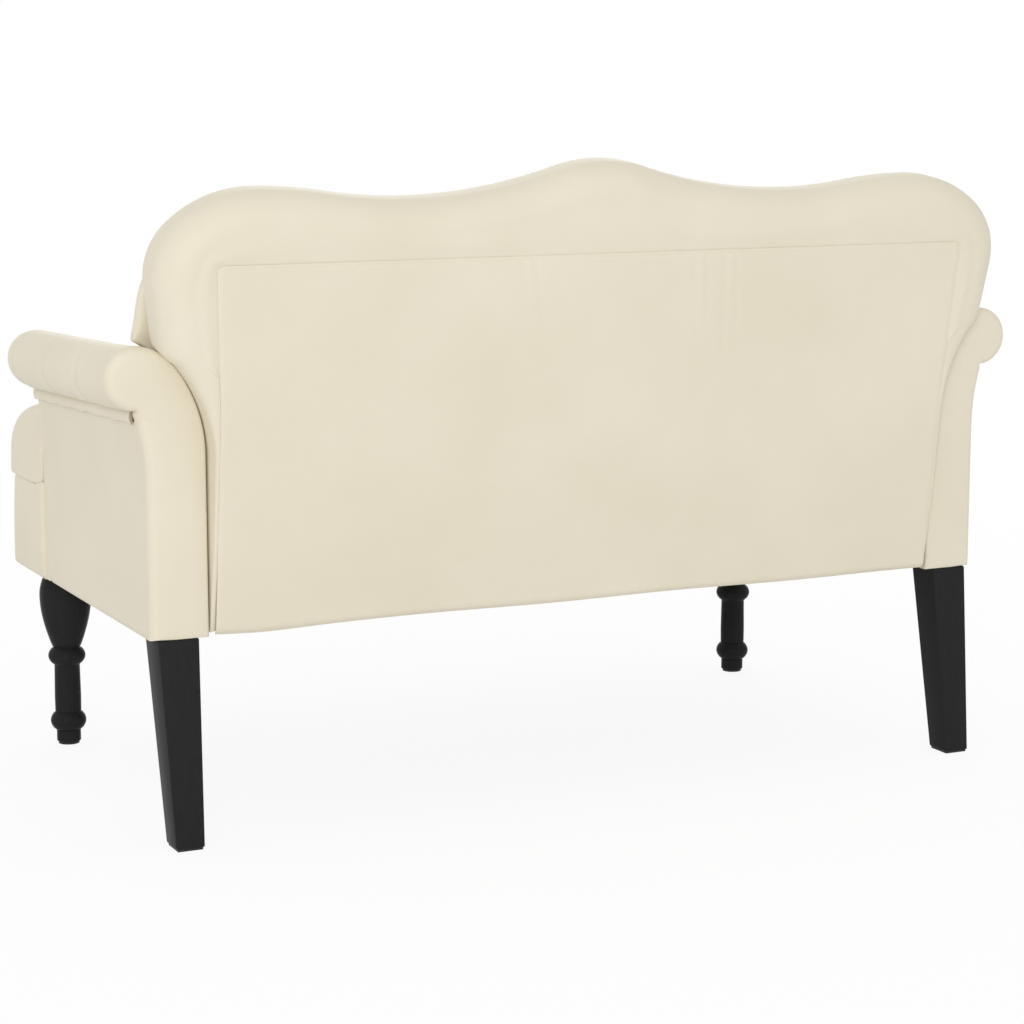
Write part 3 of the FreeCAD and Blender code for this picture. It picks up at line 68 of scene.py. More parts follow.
class Finish:
    """A procedural finish on object coordinates, in the nodes of a material or of the world."""

    def __init__(self, name, owners=bpy.data.materials, shader="Principled BSDF", **constants):
        self.owner = owners.new(name)
        self.owner.use_nodes = True
        self.tree = self.owner.node_tree
        self.shader = self.tree.nodes[shader]
        for socket, value in constants.items():
            self.shader.inputs[socket.replace("_", " ")].default_value = value

    @property
    def place(self):
        return self.node("ShaderNodeTexCoord", {}, {}, "Object")

    def node(self, kind, settings, sockets, output=0):
        """Add a node, set its settings and sockets, and give one of its outputs."""
        node = self.tree.nodes.new(kind)
        stops = settings.pop("stops", None)
        for key, value in settings.items():
            setattr(node, key, value)
        if stops:
            while len(node.color_ramp.elements) < len(stops):
                node.color_ramp.elements.new(0.5)
            for element, (position, colour) in zip(node.color_ramp.elements, stops):
                element.position = position
                element.color = (*colour, 1)
        for key, value in sockets.items():
            self.join(node.inputs[key], value)
        return Shade(self, node.outputs[output])

    def join(self, socket, value):
        if isinstance(value, Shade):
            self.tree.links.new(value.socket, socket)
        else:
            socket.default_value = value

    def math(self, operation, first, second):
        return self.node("ShaderNodeMath", {"operation": operation}, {0: first, 1: second})

    def stretched(self, scale):
        return self.node("ShaderNodeMapping", {}, {"Vector": self.place, "Scale": scale})

    def noise(self, scale, detail=2.0, place=None, distortion=0.0):
        sockets = {"Vector": place or self.place, "Scale": scale, "Detail": detail, "Distortion": distortion}
        return self.node("ShaderNodeTexNoise", {}, sockets)

    def cells(self, scale):
        return self.node("ShaderNodeTexVoronoi", {}, {"Vector": self.place, "Scale": scale})

    def waves(self, direction, scale, distortion, detail=2.0):
        sockets = {"Vector": self.place, "Scale": scale, "Distortion": distortion, "Detail": detail}
        return self.node("ShaderNodeTexWave", {"bands_direction": direction}, sockets, "Fac")

    def ramp(self, factor, *stops):
        return self.node("ShaderNodeValToRGB", {"stops": stops}, {"Fac": factor})

    def mix(self, factor, first, second):
        return self.node("ShaderNodeMix", {"data_type": "RGBA"}, {"Factor": factor, 6: first, 7: second}, 2)

    def use(self, **sockets):
        """Lead patterns into the shader, with bump given as its height, strength and depth."""
        for socket, value in sockets.items():
            if socket == "bump":
                height, strength, depth = value
                inputs = {"Height": height, "Strength": strength, "Distance": depth}
                value = self.node("ShaderNodeBump", {}, inputs)
                socket = "Normal"
            self.join(self.shader.inputs[socket.replace("_", " ")], value)


def dress(finish, *names):
    """Give carried-over nodes their finish."""
    for name in names:
        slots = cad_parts[name].data.materials
        slots.clear()
        slots.append(finish.owner)


def pine(name, grain_scale):
    timber = Finish(name, Specular_IOR_Level=0.3)
    figure = timber.noise(1.0, 4.0, timber.stretched(grain_scale), 1.4)
    fibre = timber.noise(6.0, 3.0, timber.stretched(grain_scale))
    rings = timber.ramp(
        figure, (0.3, (0.62, 0.40, 0.20)), (0.48, (0.80, 0.60, 0.36)), (0.62, (0.72, 0.50, 0.28))
    )
    timber.use(
        Base_Color=timber.mix(fibre * 0.35, rings, (0.86, 0.68, 0.44, 1)),
        Roughness=0.62 + fibre * 0.2,
        bump=(fibre, 0.25, 0.0006),
    )
    return timber


SIDES = ("left", "right")
pine_across = pine("pine_across", (2.5, 46.0, 46.0))
pine_deep = pine("pine_deep", (46.0, 2.5, 46.0))
pine_upright = pine("pine_upright", (46.0, 46.0, 2.5))
dress(pine_across, "seat_front_rail", "seat_back_rail", "back_middle_rail", "back_bottom_rail")
dress(pine_deep, "seat_centre_rail", "seat_corner_blocks", "front_leg_blocks")
for side in SIDES:
    dress(pine_across, f"seat_ear_back_{side}")
    dress(pine_deep, f"seat_side_rail_{side}", f"seat_ear_side_{side}", f"arm_bottom_rail_{side}")
    dress(pine_deep, f"arm_roll_rail_{side}", f"arm_tack_rail_{side}")
    dress(pine_upright, f"back_post_{side}")

plywood = Finish("birch_plywood", Specular_IOR_Level=0.3)
ply_grain = plywood.noise(1.0, 4.0, plywood.stretched((40.0, 40.0, 3.0)), 0.8)
ply_layers = plywood.waves("Y", 110.0, 0.4)
ply_face = plywood.ramp(ply_grain, (0.3, (0.66, 0.48, 0.29)), (0.7, (0.80, 0.64, 0.43)))
plywood.use(
    Base_Color=plywood.mix(ply_layers * 0.3, ply_face, (0.50, 0.33, 0.18, 1)),
    Roughness=0.55 + ply_grain * 0.25,
    bump=(ply_grain, 0.2, 0.0005),
)
dress(plywood, "back_top_rail")
for side in SIDES:
    dress(plywood, f"arm_front_board_{side}", f"arm_rear_board_{side}")

# Bolts, nuts and washers: bright zinc-plated steel with a faint blue cast, drawn up hard
# against the rails. The nylon glides are pressed under the four feet.
zinc = Finish("zinc_plate", Metallic=1.0, Specular_IOR_Level=0.5)
zinc_bloom = zinc.noise(260.0, 4.0)
zinc.use(
    Base_Color=zinc.ramp(zinc_bloom, (0.35, (0.55, 0.57, 0.60)), (0.65, (0.70, 0.71, 0.72))),
    Roughness=0.28 + zinc_bloom * 0.2,
    bump=(zinc.noise(900.0, 2.0), 0.15, 0.0002),
)
dress(zinc, "leg_bolts", "leg_nuts", "frame_bolts", "frame_washers")
nylon = Finish("black_nylon", Specular_IOR_Level=0.4)
nylon_scuff = nylon.noise(320.0, 5.0)
nylon.use(
    Base_Color=nylon.ramp(nylon_scuff, (0.4, (0.012, 0.012, 0.013)), (0.7, (0.03, 0.03, 0.032))),
    Roughness=0.5 + nylon_scuff * 0.25,
    bump=(nylon_scuff, 0.2, 0.0003),
)
dress(nylon, "foot_glides")


# Rear legs: square hardwood, tapered to the foot and splayed backwards, with eased edges.
# Sprayed with satin black lacquer, with faint brush marks of the primer under it.
def alone(piece):
    """Select one piece and nothing else."""
    bpy.ops.object.select_all(action="DESELECT")
    piece.select_set(True)
    bpy.context.view_layer.objects.active = piece


def start(name):
    """Name the primitive that was just added, and settle its place into its mesh."""
    piece = bpy.context.object
    piece.name = name
    piece.data.name = name
    bpy.ops.object.transform_apply(location=True, rotation=True, scale=True)
    return piece


def read(items, key):
    """Read a place or direction of every point or face."""
    flat = np.empty(len(items) * 3)
    items.foreach_get(key, flat)
    return flat.reshape(-1, 3)


def points_of(piece):
    return read(piece.data.vertices, "co")


def move_points(piece, points):
    piece.data.vertices.foreach_set("co", np.ascontiguousarray(points, float).ravel())
    piece.data.update()


def pick_all(piece):
    """Open a piece in edit mode with all of it selected."""
    alone(piece)
    bpy.ops.object.mode_set(mode="EDIT")
    bpy.ops.mesh.select_all(action="SELECT")


def pick(piece, chosen):
    """Select faces by a mask, ready for an edit-mode operator."""
    pick_all(piece)
    bpy.ops.mesh.select_mode(type="FACE")
    bpy.ops.mesh.select_all(action="DESELECT")
    bpy.ops.object.mode_set(mode="OBJECT")
    piece.data.polygons.foreach_set("select", np.asarray(chosen, bool))
    bpy.ops.object.mode_set(mode="EDIT")


def finish_edit():
    bpy.ops.object.mode_set(mode="OBJECT")


def face_middles(piece):
    return read(piece.data.polygons, "center")


def apply_all(piece):
    alone(piece)
    for modifier in list(piece.modifiers):
        bpy.ops.object.modifier_apply(modifier=modifier.name)


def smooth(piece, angle):
    """Smooth the shading, apart from edges sharper than an angle."""
    alone(piece)
    bpy.ops.object.shade_smooth_by_angle(angle=math.radians(angle))
    return piece


def eased(piece, width, segments):
    """Round a piece's edges and smooth its faces."""
    bevel = piece.modifiers.new("ease", "BEVEL")
    bevel.width = width
    bevel.segments = segments
    bevel.limit_method = "ANGLE"
    apply_all(piece)
    return smooth(piece, 35)


def settle(piece, finish, slot, *nodes):
    """Give a finished piece its material and its body, and hide the nodes that it stands for."""
    piece.data.materials.clear()
    piece.data.materials.append(finish.owner)
    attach(piece, "root")
    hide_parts(*nodes)


def copied(piece, name, turn=(1, 1, 1)):
    """Copy a piece with its own mesh, scaled by turn about the bench's middle."""
    twin = bpy.data.objects.new(name, piece.data.copy())
    twin.data.name = name
    bpy.context.scene.collection.objects.link(twin)
    move_points(twin, points_of(twin) * np.array(turn))
    if np.prod(turn) < 0:
        pick_all(twin)
        bpy.ops.mesh.flip_normals()
        finish_edit()
    return twin


def settle_pair(left, finish, slot, node):
    """Mirror a left-hand piece, and settle both hands for their own nodes."""
    pair = (left, copied(left, f"{node}_right_shown", (-1, 1, 1)))
    for piece, side in zip(pair, SIDES):
        settle(piece, finish, slot, f"{node}_{side}")
    return pair


lacquer = Finish("black_lacquer", Specular_IOR_Level=0.025)
brush_marks = lacquer.noise(5.0, 4.0, lacquer.stretched((60.0, 60.0, 4.0)))
orange_peel = lacquer.noise(420.0, 2.0)
lacquer.use(
    Base_Color=lacquer.ramp(brush_marks, (0.3, (0.023, 0.023, 0.0235)), (0.75, (0.026, 0.026, 0.0265))),
    Roughness=0.28 + brush_marks * 0.04,
    bump=(orange_peel * 0.7 + brush_marks * 0.3, 0.03, 0.0002),
)
leg_top, leg_foot = 0.238, 0.0025
rear_leg_place, rear_leg_splay = (0.517, 0.233), 0.034
(top_wide, top_deep), (foot_wide, foot_deep) = (0.048, 0.050), (0.0335, 0.038)
bpy.ops.object.select_all(action="DESELECT")
bpy.ops.mesh.primitive_cube_add(size=1, location=(*rear_leg_place, (leg_top + leg_foot) / 2))
bpy.context.object.scale = (top_wide, top_deep, leg_top - leg_foot)
rear_leg = start("rear_leg_left_shown")
pick(rear_leg, face_middles(rear_leg)[:, 2] < leg_foot + 0.001)
bpy.ops.transform.resize(value=(foot_wide / top_wide, foot_deep / top_deep, 1))
bpy.ops.transform.translate(value=(0, rear_leg_splay, 0))
finish_edit()
settle_pair(eased(rear_leg, 0.0022, 4), lacquer, "black_lacquered_wood", "rear_leg")

# Front legs: hardwood turned on a lathe, a foot, two half-round rings and a vase, in the same
# satin black lacquer. Each is drawn up to a block in the seat box by a hanger bolt.
turned_rings = [(0.0140, 0.0), (0.0155, 0.0015), (0.0155, 0.0150), (0.0150, 0.0155)]
for step in range(9):
    share = step / 8
    turned_rings.append((0.0160 + 0.0070 * math.sin(math.pi * share) ** 0.75, 0.0158 + 0.0244 * share))
turned_rings += [(0.0168, 0.0410), (0.0170, 0.0600), (0.0166, 0.0850), (0.0164, 0.1020)]
for step in range(9):
    share = step / 8
    turned_rings.append((0.0168 + 0.0072 * math.sin(math.pi * share) ** 0.75, 0.1027 + 0.0230 * share))
turned_rings += [(0.0172, 0.1264), (0.0186, 0.1275)]
for step in range(1, 11):
    share = step / 10
    turned_rings.append((0.0186 + 0.01455 * math.sin(math.pi / 2 * share) ** 0.95, 0.1275 + 0.0670 * share))
for step in range(1, 9):
    share = step / 8
    turned_rings.append((0.0262 + 0.00695 * math.cos(math.pi / 2 * share) ** 0.8, 0.1945 + 0.0265 * share))
turned_rings += [(0.0255, 0.2225), (0.0250, 0.2355)]
leg_axis = (0.4984, -0.259)
bpy.ops.object.select_all(action="DESELECT")
bpy.ops.mesh.primitive_circle_add(
    vertices=56, radius=turned_rings[0][0], fill_type="NGON", location=(*leg_axis, leg_foot)
)
front_leg = start("front_leg_left_shown")
pick(front_leg, [True])
for (radius, height), (next_radius, next_height) in zip(turned_rings, turned_rings[1:]):
    bpy.ops.mesh.extrude_region_move(TRANSFORM_OT_translate={"value": (0, 0, next_height - height)})
    grow = next_radius / radius
    bpy.ops.transform.resize(value=(grow, grow, 1))
bpy.ops.mesh.select_all(action="SELECT")
bpy.ops.mesh.normals_make_consistent(inside=False)
finish_edit()
pick(front_leg, [abs(face.normal.z) > 0.99 for face in front_leg.data.polygons])
bpy.ops.mesh.inset(thickness=0.002)
finish_edit()
settle_pair(smooth(front_leg, 40), lacquer, "black_lacquered_wood", "front_leg")


# Webbing: elastic straps, woven from rubber threads and tan yarn, stretched over the seat box
# and up the back frame, with stapled ends.
def merged_copy(node, name):
    """Copy a carried-over node's mesh into a new piece, merged into one skin."""
    piece = copied(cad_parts[node], name)
    pick_all(piece)
    bpy.ops.mesh.remove_doubles(threshold=0.00002)
    finish_edit()
    return piece


strap_weave = Finish("elastic_webbing", Roughness=0.85, Specular_IOR_Level=0.2)
strap_height = strap_weave.waves("X", 95.0, 0.6) * strap_weave.waves("Y", 95.0, 0.6)
strap_weave.use(
    Base_Color=strap_weave.ramp(strap_height, (0.1, (0.16, 0.09, 0.045)), (0.6, (0.36, 0.22, 0.11))),
    bump=(strap_height, 0.5, 0.0008),
)
for place_name in ("seat", "back"):
    straps = eased(merged_copy(f"{place_name}_webbing", f"{place_name}_webbing_shown"), 0.0006, 2)
    settle(straps, strap_weave, "elastic_webbing", f"{place_name}_webbing")

# Foam: moulded seat foam on the webbing and a foam sheet over the back frame, cut with a hot
# wire, so that the faces are flat and open-celled and the edges a little crushed.
foam_cells = Finish("cream_foam", Specular_IOR_Level=0.1, Roughness=0.95)
foam_pores = foam_cells.cells(420.0)
foam_cells.use(
    Base_Color=foam_cells.ramp(foam_pores, (0.1, (0.62, 0.52, 0.30)), (0.5, (0.80, 0.71, 0.47))),
    bump=(foam_pores, 0.6, 0.001),
)
for place_name in ("seat", "back"):
    block = eased(merged_copy(f"{place_name}_foam", f"{place_name}_foam_shown"), 0.003, 3)
    settle(block, foam_cells, "upholstery_foam", f"{place_name}_foam")


# Deck cloth: a calico sheet between the webbing and the seat foam, stapled all round, that dips
# a little between the straps.
def lay(name, columns, rows, path):
    """Lay a sheet of squares along a path that turns shares across and up into places."""
    bpy.ops.object.select_all(action="DESELECT")
    bpy.ops.mesh.primitive_grid_add(x_subdivisions=columns, y_subdivisions=rows, size=1)
    sheet = start(name)
    shares = points_of(sheet)[:, :2] + 0.5
    move_points(sheet, np.stack(path(shares[:, 0], shares[:, 1]), 1))
    return sheet


def thicken(sheet, thickness):
    """Give a sheet its thickness behind its face."""
    wall = sheet.modifiers.new("wall", "SOLIDIFY")
    wall.thickness = thickness
    wall.offset = -1.0
    apply_all(sheet)
    return smooth(sheet, 40)


def stretch(node, columns, rows, thickness, hang):
    """Stretch a cloth over its node's place, hanging a little, and give its flat size too."""
    (left, front, _), (right, rear, top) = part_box(node)

    def path(across, up):
        x = left + (right - left) * across
        y = front + (rear - front) * up
        return x, y, top - hang(x, y, across, up)

    return thicken(lay(f"{node}_shown", columns, rows, path), thickness), (right - left, rear - front)


def cloth(name, dark, pale, threads):
    """Make a plain-woven cloth with crossing threads."""
    woven = Finish(name, Roughness=0.9, Specular_IOR_Level=0.15)
    height = woven.waves("X", threads, 0.8, 1.0) * 0.5 + woven.waves("Y", threads, 0.8, 1.0) * 0.5
    blotch = woven.noise(14.0, 3.0)
    colour = woven.ramp(height * 0.7 + blotch * 0.3, (0.2, dark), (0.7, pale))
    woven.use(Base_Color=colour, bump=(height, 0.4, 0.0004))
    return woven


calico = cloth("calico", (0.55, 0.48, 0.36), (0.72, 0.65, 0.52), 260.0)
strap_step = 0.130


def deck_hang(x, y, across, up):
    return 0.0002 + 0.0004 * (1 - np.cos(2 * math.pi * x / strap_step)) * np.sin(math.pi * up)


deck, deck_size = stretch("seat_deck_cloth", 96, 48, 0.0008, deck_hang)
settle(deck, calico, "deck_cloth", "seat_deck_cloth")

# Dust cover: black spunbond cloth stapled under the seat box and the back rail, pulled tight,
# with a shallow sag between the staples.
spunbond = cloth("black_spunbond", (0.010, 0.010, 0.011), (0.030, 0.030, 0.032), 420.0)


def dust_hang(x, y, across, up):
    sag = np.sin(math.pi * across) ** 0.6 * np.sin(math.pi * up) ** 0.6
    crease = 0.0003 * np.sin(x * 61 + y * 23) * np.sin(y * 47 - x * 19)
    return 0.0003 + (0.0007 + crease) * sag


dust, dust_size = stretch("seat_dust_cover", 110, 64, 0.0006, dust_hang)
settle(dust, spunbond, "dust_cloth", "seat_dust_cover")

# Seat apron: cream leather over thin wadding, wrapped round the front of the seat box and its two
# corners. It is tucked in under the cushion and turned under at the hem, where it is stapled.
leather = Finish("cream_leather", Specular_IOR_Level=0.35, Sheen_Weight=0.04, Sheen_Roughness=0.5)
pebbles = 1.0 - leather.cells(820.0)
pores = leather.noise(1700.0, 2.0)
mottle = leather.noise(6.0, 4.0)
stretch_marks = leather.noise(34.0, 3.0, None, 1.3)
# Painted shade: the hide's colour is mixed towards a dark tan by the fold attribute, where creases, pleats,
# button hollows and slits would lie in shade.
crease_shade = leather.node("ShaderNodeAttribute", {"attribute_name": "fold"}, {}, 2)
hide = leather.ramp(mottle, (0.30, (0.752, 0.690, 0.545)), (0.70, (0.790, 0.732, 0.592)))
leather.use(
    Base_Color=leather.mix(crease_shade, hide, (0.36, 0.29, 0.18, 1)),
    Roughness=0.46 + pebbles * 0.10 + mottle * 0.08,
    bump=(pebbles * 0.5 + pores * 0.2 + stretch_marks * 0.6, 0.22, 0.0006),
)
apron_half, apron_rear, apron_front = 0.5525, -0.1645, -0.303
apron_hem, apron_tuck = 0.236, 0.354
apron_corner, apron_rear_corner, apron_kick = 0.020, 0.006, 0.010
apron_face = 0.88


def between(value, low, high):
    """Give how far a value has come from low to high, from 0 to 1."""
    return np.clip((value - low) / (high - low), 0, 1)


def apron_path(across, up):
    rise = between(up, 0, apron_face)
    tucked = between(up, apron_face, 1)
    front = apron_front - apron_kick * (1 - rise)
    level_run = apron_half - apron_corner
    bend_run = apron_corner * math.pi / 2
    side_run = apron_rear - apron_rear_corner - front - apron_corner
    rear_run = apron_rear_corner * math.pi / 2
    along = (2 * across - 1) * (level_run + bend_run + side_run + rear_run)
    beyond_level = np.abs(along) - level_run
    turn = np.clip(beyond_level / bend_run, 0, 1) * math.pi / 2
    past = np.clip(beyond_level - bend_run, 0, side_run)
    rear_turn = np.clip((beyond_level - bend_run - side_run) / rear_run, 0, 1) * math.pi / 2
    turned_under = 0.004 * np.maximum(1 - rise / 0.05, 0) ** 2
    turned_under += 0.001 * np.maximum(1 - (1 - rise) / 0.03, 0) ** 2
    out = 0.0015 * np.sin(math.pi * rise) ** 0.5 - turned_under - 0.005 * tucked
    x = np.minimum(np.abs(along), level_run) + (apron_corner + out) * np.sin(turn)
    x = np.sign(along) * (x - (apron_rear_corner + out) * (1 - np.cos(rear_turn)))
    y = front + apron_corner + past - (apron_corner + out) * np.cos(turn)
    y = y + (apron_rear_corner + out) * np.sin(rear_turn)
    ear_end = between(y, apron_rear - 0.035, apron_rear) * rise**4
    return x, y, apron_hem + (apron_tuck - apron_hem) * rise + 0.006 * ear_end


apron = thicken(lay("seat_apron_shown", 420, 50, apron_path), 0.003)
settle(apron, leather, "cream_leather", "seat_apron")


# Seat cushion: a loose T-shaped cushion of cream leather, with ears in front of the arms. It is
# stuffed with foam in fibre, so that its top is crowned and its borders swell.
def soften(piece, times):
    """Even out a skin by averaging neighbours."""
    even = piece.modifiers.new("even", "SMOOTH")
    even.factor = 0.5
    even.iterations = times
    apply_all(piece)


def reskin(piece, voxel, times):
    """Give a piece one even skin of small squares and take the steps out of it."""
    alone(piece)
    piece.data.remesh_voxel_size = voxel
    bpy.ops.object.voxel_remesh()
    soften(piece, times)


def out_of(piece):
    """Give the outward direction at every point."""
    return read(piece.data.vertex_normals, "vector")


def stuff(piece, most, pressure=4.0, last_frame=20):
    """Swell a cover by cloth simulation, each point by no more than its own most."""
    before = points_of(piece)
    held = piece.vertex_groups.new(name="held")
    held.add(np.flatnonzero(most <= 0).tolist(), 1.0, "REPLACE")
    filling = piece.modifiers.new("filling", "CLOTH")
    filling.settings.vertex_group_mass = "held"
    filling.settings.quality = 5
    filling.settings.mass = 0.4
    filling.settings.use_pressure = True
    filling.settings.uniform_pressure_force = pressure
    filling.settings.effector_weights.gravity = 0
    filling.collision_settings.use_collision = False
    filling.point_cache.frame_start = 1
    filling.point_cache.frame_end = last_frame
    for number in range(1, last_frame + 1):
        bpy.context.scene.frame_set(number)
    apply_all(piece)
    bpy.context.scene.frame_set(1)
    piece.vertex_groups.clear()
    moved = points_of(piece) - before
    far = np.maximum(np.linalg.norm(moved, axis=1), 1e-9)
    room = np.maximum(most, 1e-9)
    move_points(piece, before + moved * (room * np.tanh(far / room) / far)[:, None])


def divide(piece):
    """Add one level of subdivision and smooth the shading."""
    finer = piece.modifiers.new("finer", "SUBSURF")
    finer.levels = 1
    finer.render_levels = 1
    apply_all(piece)
    bpy.ops.object.shade_smooth()


cushion = merged_copy("seat_cushion", "seat_cushion_shown")
wrap = 0.0215
cushion_half, cushion_rear = 0.4775, 0.140
ear_half, ear_rear = 0.5545, -0.167
nose_front, hollow_top = -0.322, 0.4256
middle_x, middle_y, middle_z = face_middles(cushion).T
between_arms = (np.abs(middle_x) < cushion_half - wrap) & (middle_y < cushion_rear - wrap)
before_arms = (np.abs(middle_x) < ear_half - wrap) & (middle_y < ear_rear - wrap)
behind_nose = middle_y > nose_front + wrap
pick(cushion, (between_arms | before_arms) & behind_nose & (middle_z < hollow_top))
bpy.ops.mesh.delete(type="FACE")
bpy.ops.mesh.select_all(action="SELECT")
bpy.ops.mesh.fill_holes(sides=0)
finish_edit()
reskin(cushion, 0.0075, 4)
cushion_out = out_of(cushion)
cushion_points = points_of(cushion)
cushion_x, cushion_y, cushion_z = cushion_points.T
fuller_heights = (0.3543, 0.3590, 0.3636, 0.3820, 0.4000)
fuller_depths = (0.0105, 0.0075, 0.0050, 0.0015, 0.0)
fuller = np.interp(cushion_z, fuller_heights, fuller_depths)
ear_side = between(np.abs(cushion_x), 0.515, 0.535)
front_side = between(-cushion_y, 0.27, 0.29)
cushion_x += (fuller + 0.002) * ear_side * np.sign(cushion_x)
cushion_y -= fuller * front_side
ear_round_x, ear_round_y, seam_height = 0.5285, -0.1930, 0.3545
ear_x = np.maximum(np.abs(cushion_x) - ear_round_x, 0)
ear_y = np.maximum(cushion_y - ear_round_y, 0)
ear_far = np.maximum(np.hypot(ear_x, ear_y), 1e-6)
squarer = ((ear_x / ear_far) ** 6 + (ear_y / ear_far) ** 6 + 1e-9) ** (-1 / 6)
squarer = np.where((ear_x > 0) & (ear_y > 0), squarer - 1, 0)
cushion_x += ear_x * squarer * np.sign(cushion_x)
cushion_y += ear_y * squarer
edge_rise = np.maximum(cushion_z - seam_height, 0)
at_edge = np.maximum(ear_side, front_side)
cushion_z -= at_edge * edge_rise * np.clip(1 - edge_rise / 0.020, 0, 0.9)
ear_corner = between(np.abs(cushion_x), 0.525, 0.545) * between(cushion_y, -0.192, -0.172)
cushion_z -= 0.0045 * ear_corner * np.clip(1 - edge_rise / 0.03, 0, 1)
move_points(cushion, cushion_points)
on_top = np.clip(cushion_out[:, 2], 0, 1)
at_front = np.clip(-cushion_out[:, 1], 0, 1) * (cushion_y < -0.2)
at_ear = np.abs(cushion_out[:, 0]) * (np.abs(cushion_x) > 0.52)
cushion_room = 0.0008 + 0.007 * on_top + 0.005 * at_front + 0.004 * at_ear
cushion_room[cushion_z < 0.357] = 0
stuff(cushion, cushion_room)
divide(cushion)
settle(cushion, leather, "cream_leather", "seat_cushion")


# Arm pads: cream leather over wadding, drawn up the inside of each arm, round the roll and in
# under it to the tacking rail. Three pleats gather it on the roll, and two buttons on the inside.
def arc_through(first, middle, last, count=30):
    """Give points on the arc through three places."""
    (ax, az), (bx, bz), (cx, cz) = first, middle, last
    twice = 2 * (ax * (bz - cz) + bx * (cz - az) + cx * (az - bz))
    a_far, b_far, c_far = ax * ax + az * az, bx * bx + bz * bz, cx * cx + cz * cz
    mid_x = (a_far * (bz - cz) + b_far * (cz - az) + c_far * (az - bz)) / twice
    mid_z = (a_far * (cx - bx) + b_far * (ax - cx) + c_far * (bx - ax)) / twice
    turns = np.unwrap([math.atan2(z - mid_z, x - mid_x) for x, z in (first, middle, last)])
    turn = np.linspace(turns[0], turns[2], count)
    radius = math.hypot(ax - mid_x, az - mid_z)
    return np.stack((mid_x + radius * np.cos(turn), mid_z + radius * np.sin(turn)), 1)


class Outline:
    """A line across and up, with the direction out of it on its left, read by share of length."""

    def __init__(self, runs, closed=False):
        path = np.concatenate([np.asarray(run, float).reshape(-1, 2) for run in runs])
        lengths = np.r_[0, np.cumsum(np.linalg.norm(np.diff(path, axis=0), axis=1))]
        self.shares = np.linspace(0, 1, 1201)
        even = [np.interp(self.shares * lengths[-1], lengths, path[:, number]) for number in (0, 1)]
        self.path = np.stack(even, 1)
        ahead = np.gradient(self.path, axis=0)
        if closed:
            ahead[0] = ahead[-1] = self.path[1] - self.path[-2]
        out = np.stack((-ahead[:, 1], ahead[:, 0]), 1)
        self.out = out / np.maximum(np.linalg.norm(out, axis=1, keepdims=True), 1e-12)

    def at(self, share, inset=0.0):
        place = [np.interp(share, self.shares, self.path[:, number]) for number in (0, 1)]
        out = [np.interp(share, self.shares, self.out[:, number]) for number in (0, 1)]
        return place[0] - inset * out[0], place[1] - inset * out[1]


arm_inner, arm_outer = 0.481, 0.5495
arm_front, arm_rear = -0.164, 0.259
roll_x, roll_z, roll_radius = 0.559, 0.533, 0.036
scroll_spring, scroll_sweep = 0.087, 0.163
curve_out = roll_x - arm_inner
curve_up = roll_radius + scroll_spring
brow_radius = (curve_out**2 + curve_up**2 - 2 * scroll_sweep * curve_out) / (2 * (curve_up - scroll_sweep))


def scroll_curve(inset):
    """Give the scroll's inner curve: an arc that starts upright, and one that lies level on the roll."""
    shared = math.asin((curve_up - brow_radius) / (scroll_sweep - brow_radius))
    lower = np.linspace(0, shared, 24)
    upper = np.linspace(shared, math.pi / 2, 24)[1:]
    sweep = scroll_sweep - inset
    over = brow_radius - inset
    x = np.r_[arm_inner + scroll_sweep - sweep * np.cos(lower), roll_x - over * np.cos(upper)]
    z = np.r_[sweep * np.sin(lower) - scroll_spring, roll_radius - brow_radius + over * np.sin(upper)]
    return np.stack((x, z + roll_z), 1)


def roll_arc(radius, first, last):
    turn = np.radians(np.linspace(first, last, 40))
    return np.stack((roll_x + radius * np.cos(turn), roll_z + radius * np.sin(turn)), 1)


def arm_drop(y):
    """The roll falls evenly from the rear of the arm to its front."""
    return 0.016 * (arm_rear - y) / (arm_rear - arm_front)


def lowered(z, y, foot):
    """Lower a height on the arm with the roll, and leave its foot where it is."""
    return z - arm_drop(y) * between(z, foot, roll_z - scroll_spring)


def mark_fold_shade(piece, depth):
    """Note how deep in a fold each point lies, for the leather's colour to darken there as painted shade."""
    folds = piece.data.attributes.new("fold", "FLOAT", "POINT")
    folds.data.foreach_set("value", np.clip(depth, 0, 1).astype(np.float32))


arm_pad_ends = (-0.1462, 0.2412)
arm_pad_foot = 0.350
arm_pleats = (0.133, -0.001, -0.135)
arm_button_drop = 0.062
arm_button_seat = 0.007
arm_button_spots = [(pleat, roll_z - arm_button_drop - arm_drop(pleat)) for pleat in arm_pleats[:2]]
arm_cover = Outline([
    (arm_inner, arm_pad_foot),
    scroll_curve(0),
    roll_arc(roll_radius, 90, -90),
    (0.5560, 0.4960),
    (0.5548, 0.4890),
])


def close_by(far, reach):
    """Give 1 at a place, fading softly with the distance from it."""
    return np.exp(-((far / reach) ** 2))


def pleat_depths(y):
    """Give how far a place on the roll is drawn in by its nearest pleat, and how near the pleat is."""
    near = np.min([np.abs(y - pleat) for pleat in arm_pleats], axis=0)
    return 0.0005 * close_by(near, 0.0040) + 0.0012 * close_by(near, 0.011), near


def arm_pad_path(across, up):
    y = arm_pad_ends[0] + (arm_pad_ends[1] - arm_pad_ends[0]) * up
    x, z = arm_cover.at(across, pleat_depths(y)[0] + 0.0006)
    z = lowered(z, y, arm_pad_foot)
    inside = across < 0.45
    for spot_y, spot_z in arm_button_spots:
        x = x + inside * (arm_button_seat - 0.002) * close_by(np.hypot(y - spot_y, z - spot_z), 0.017)
    return x, y, z


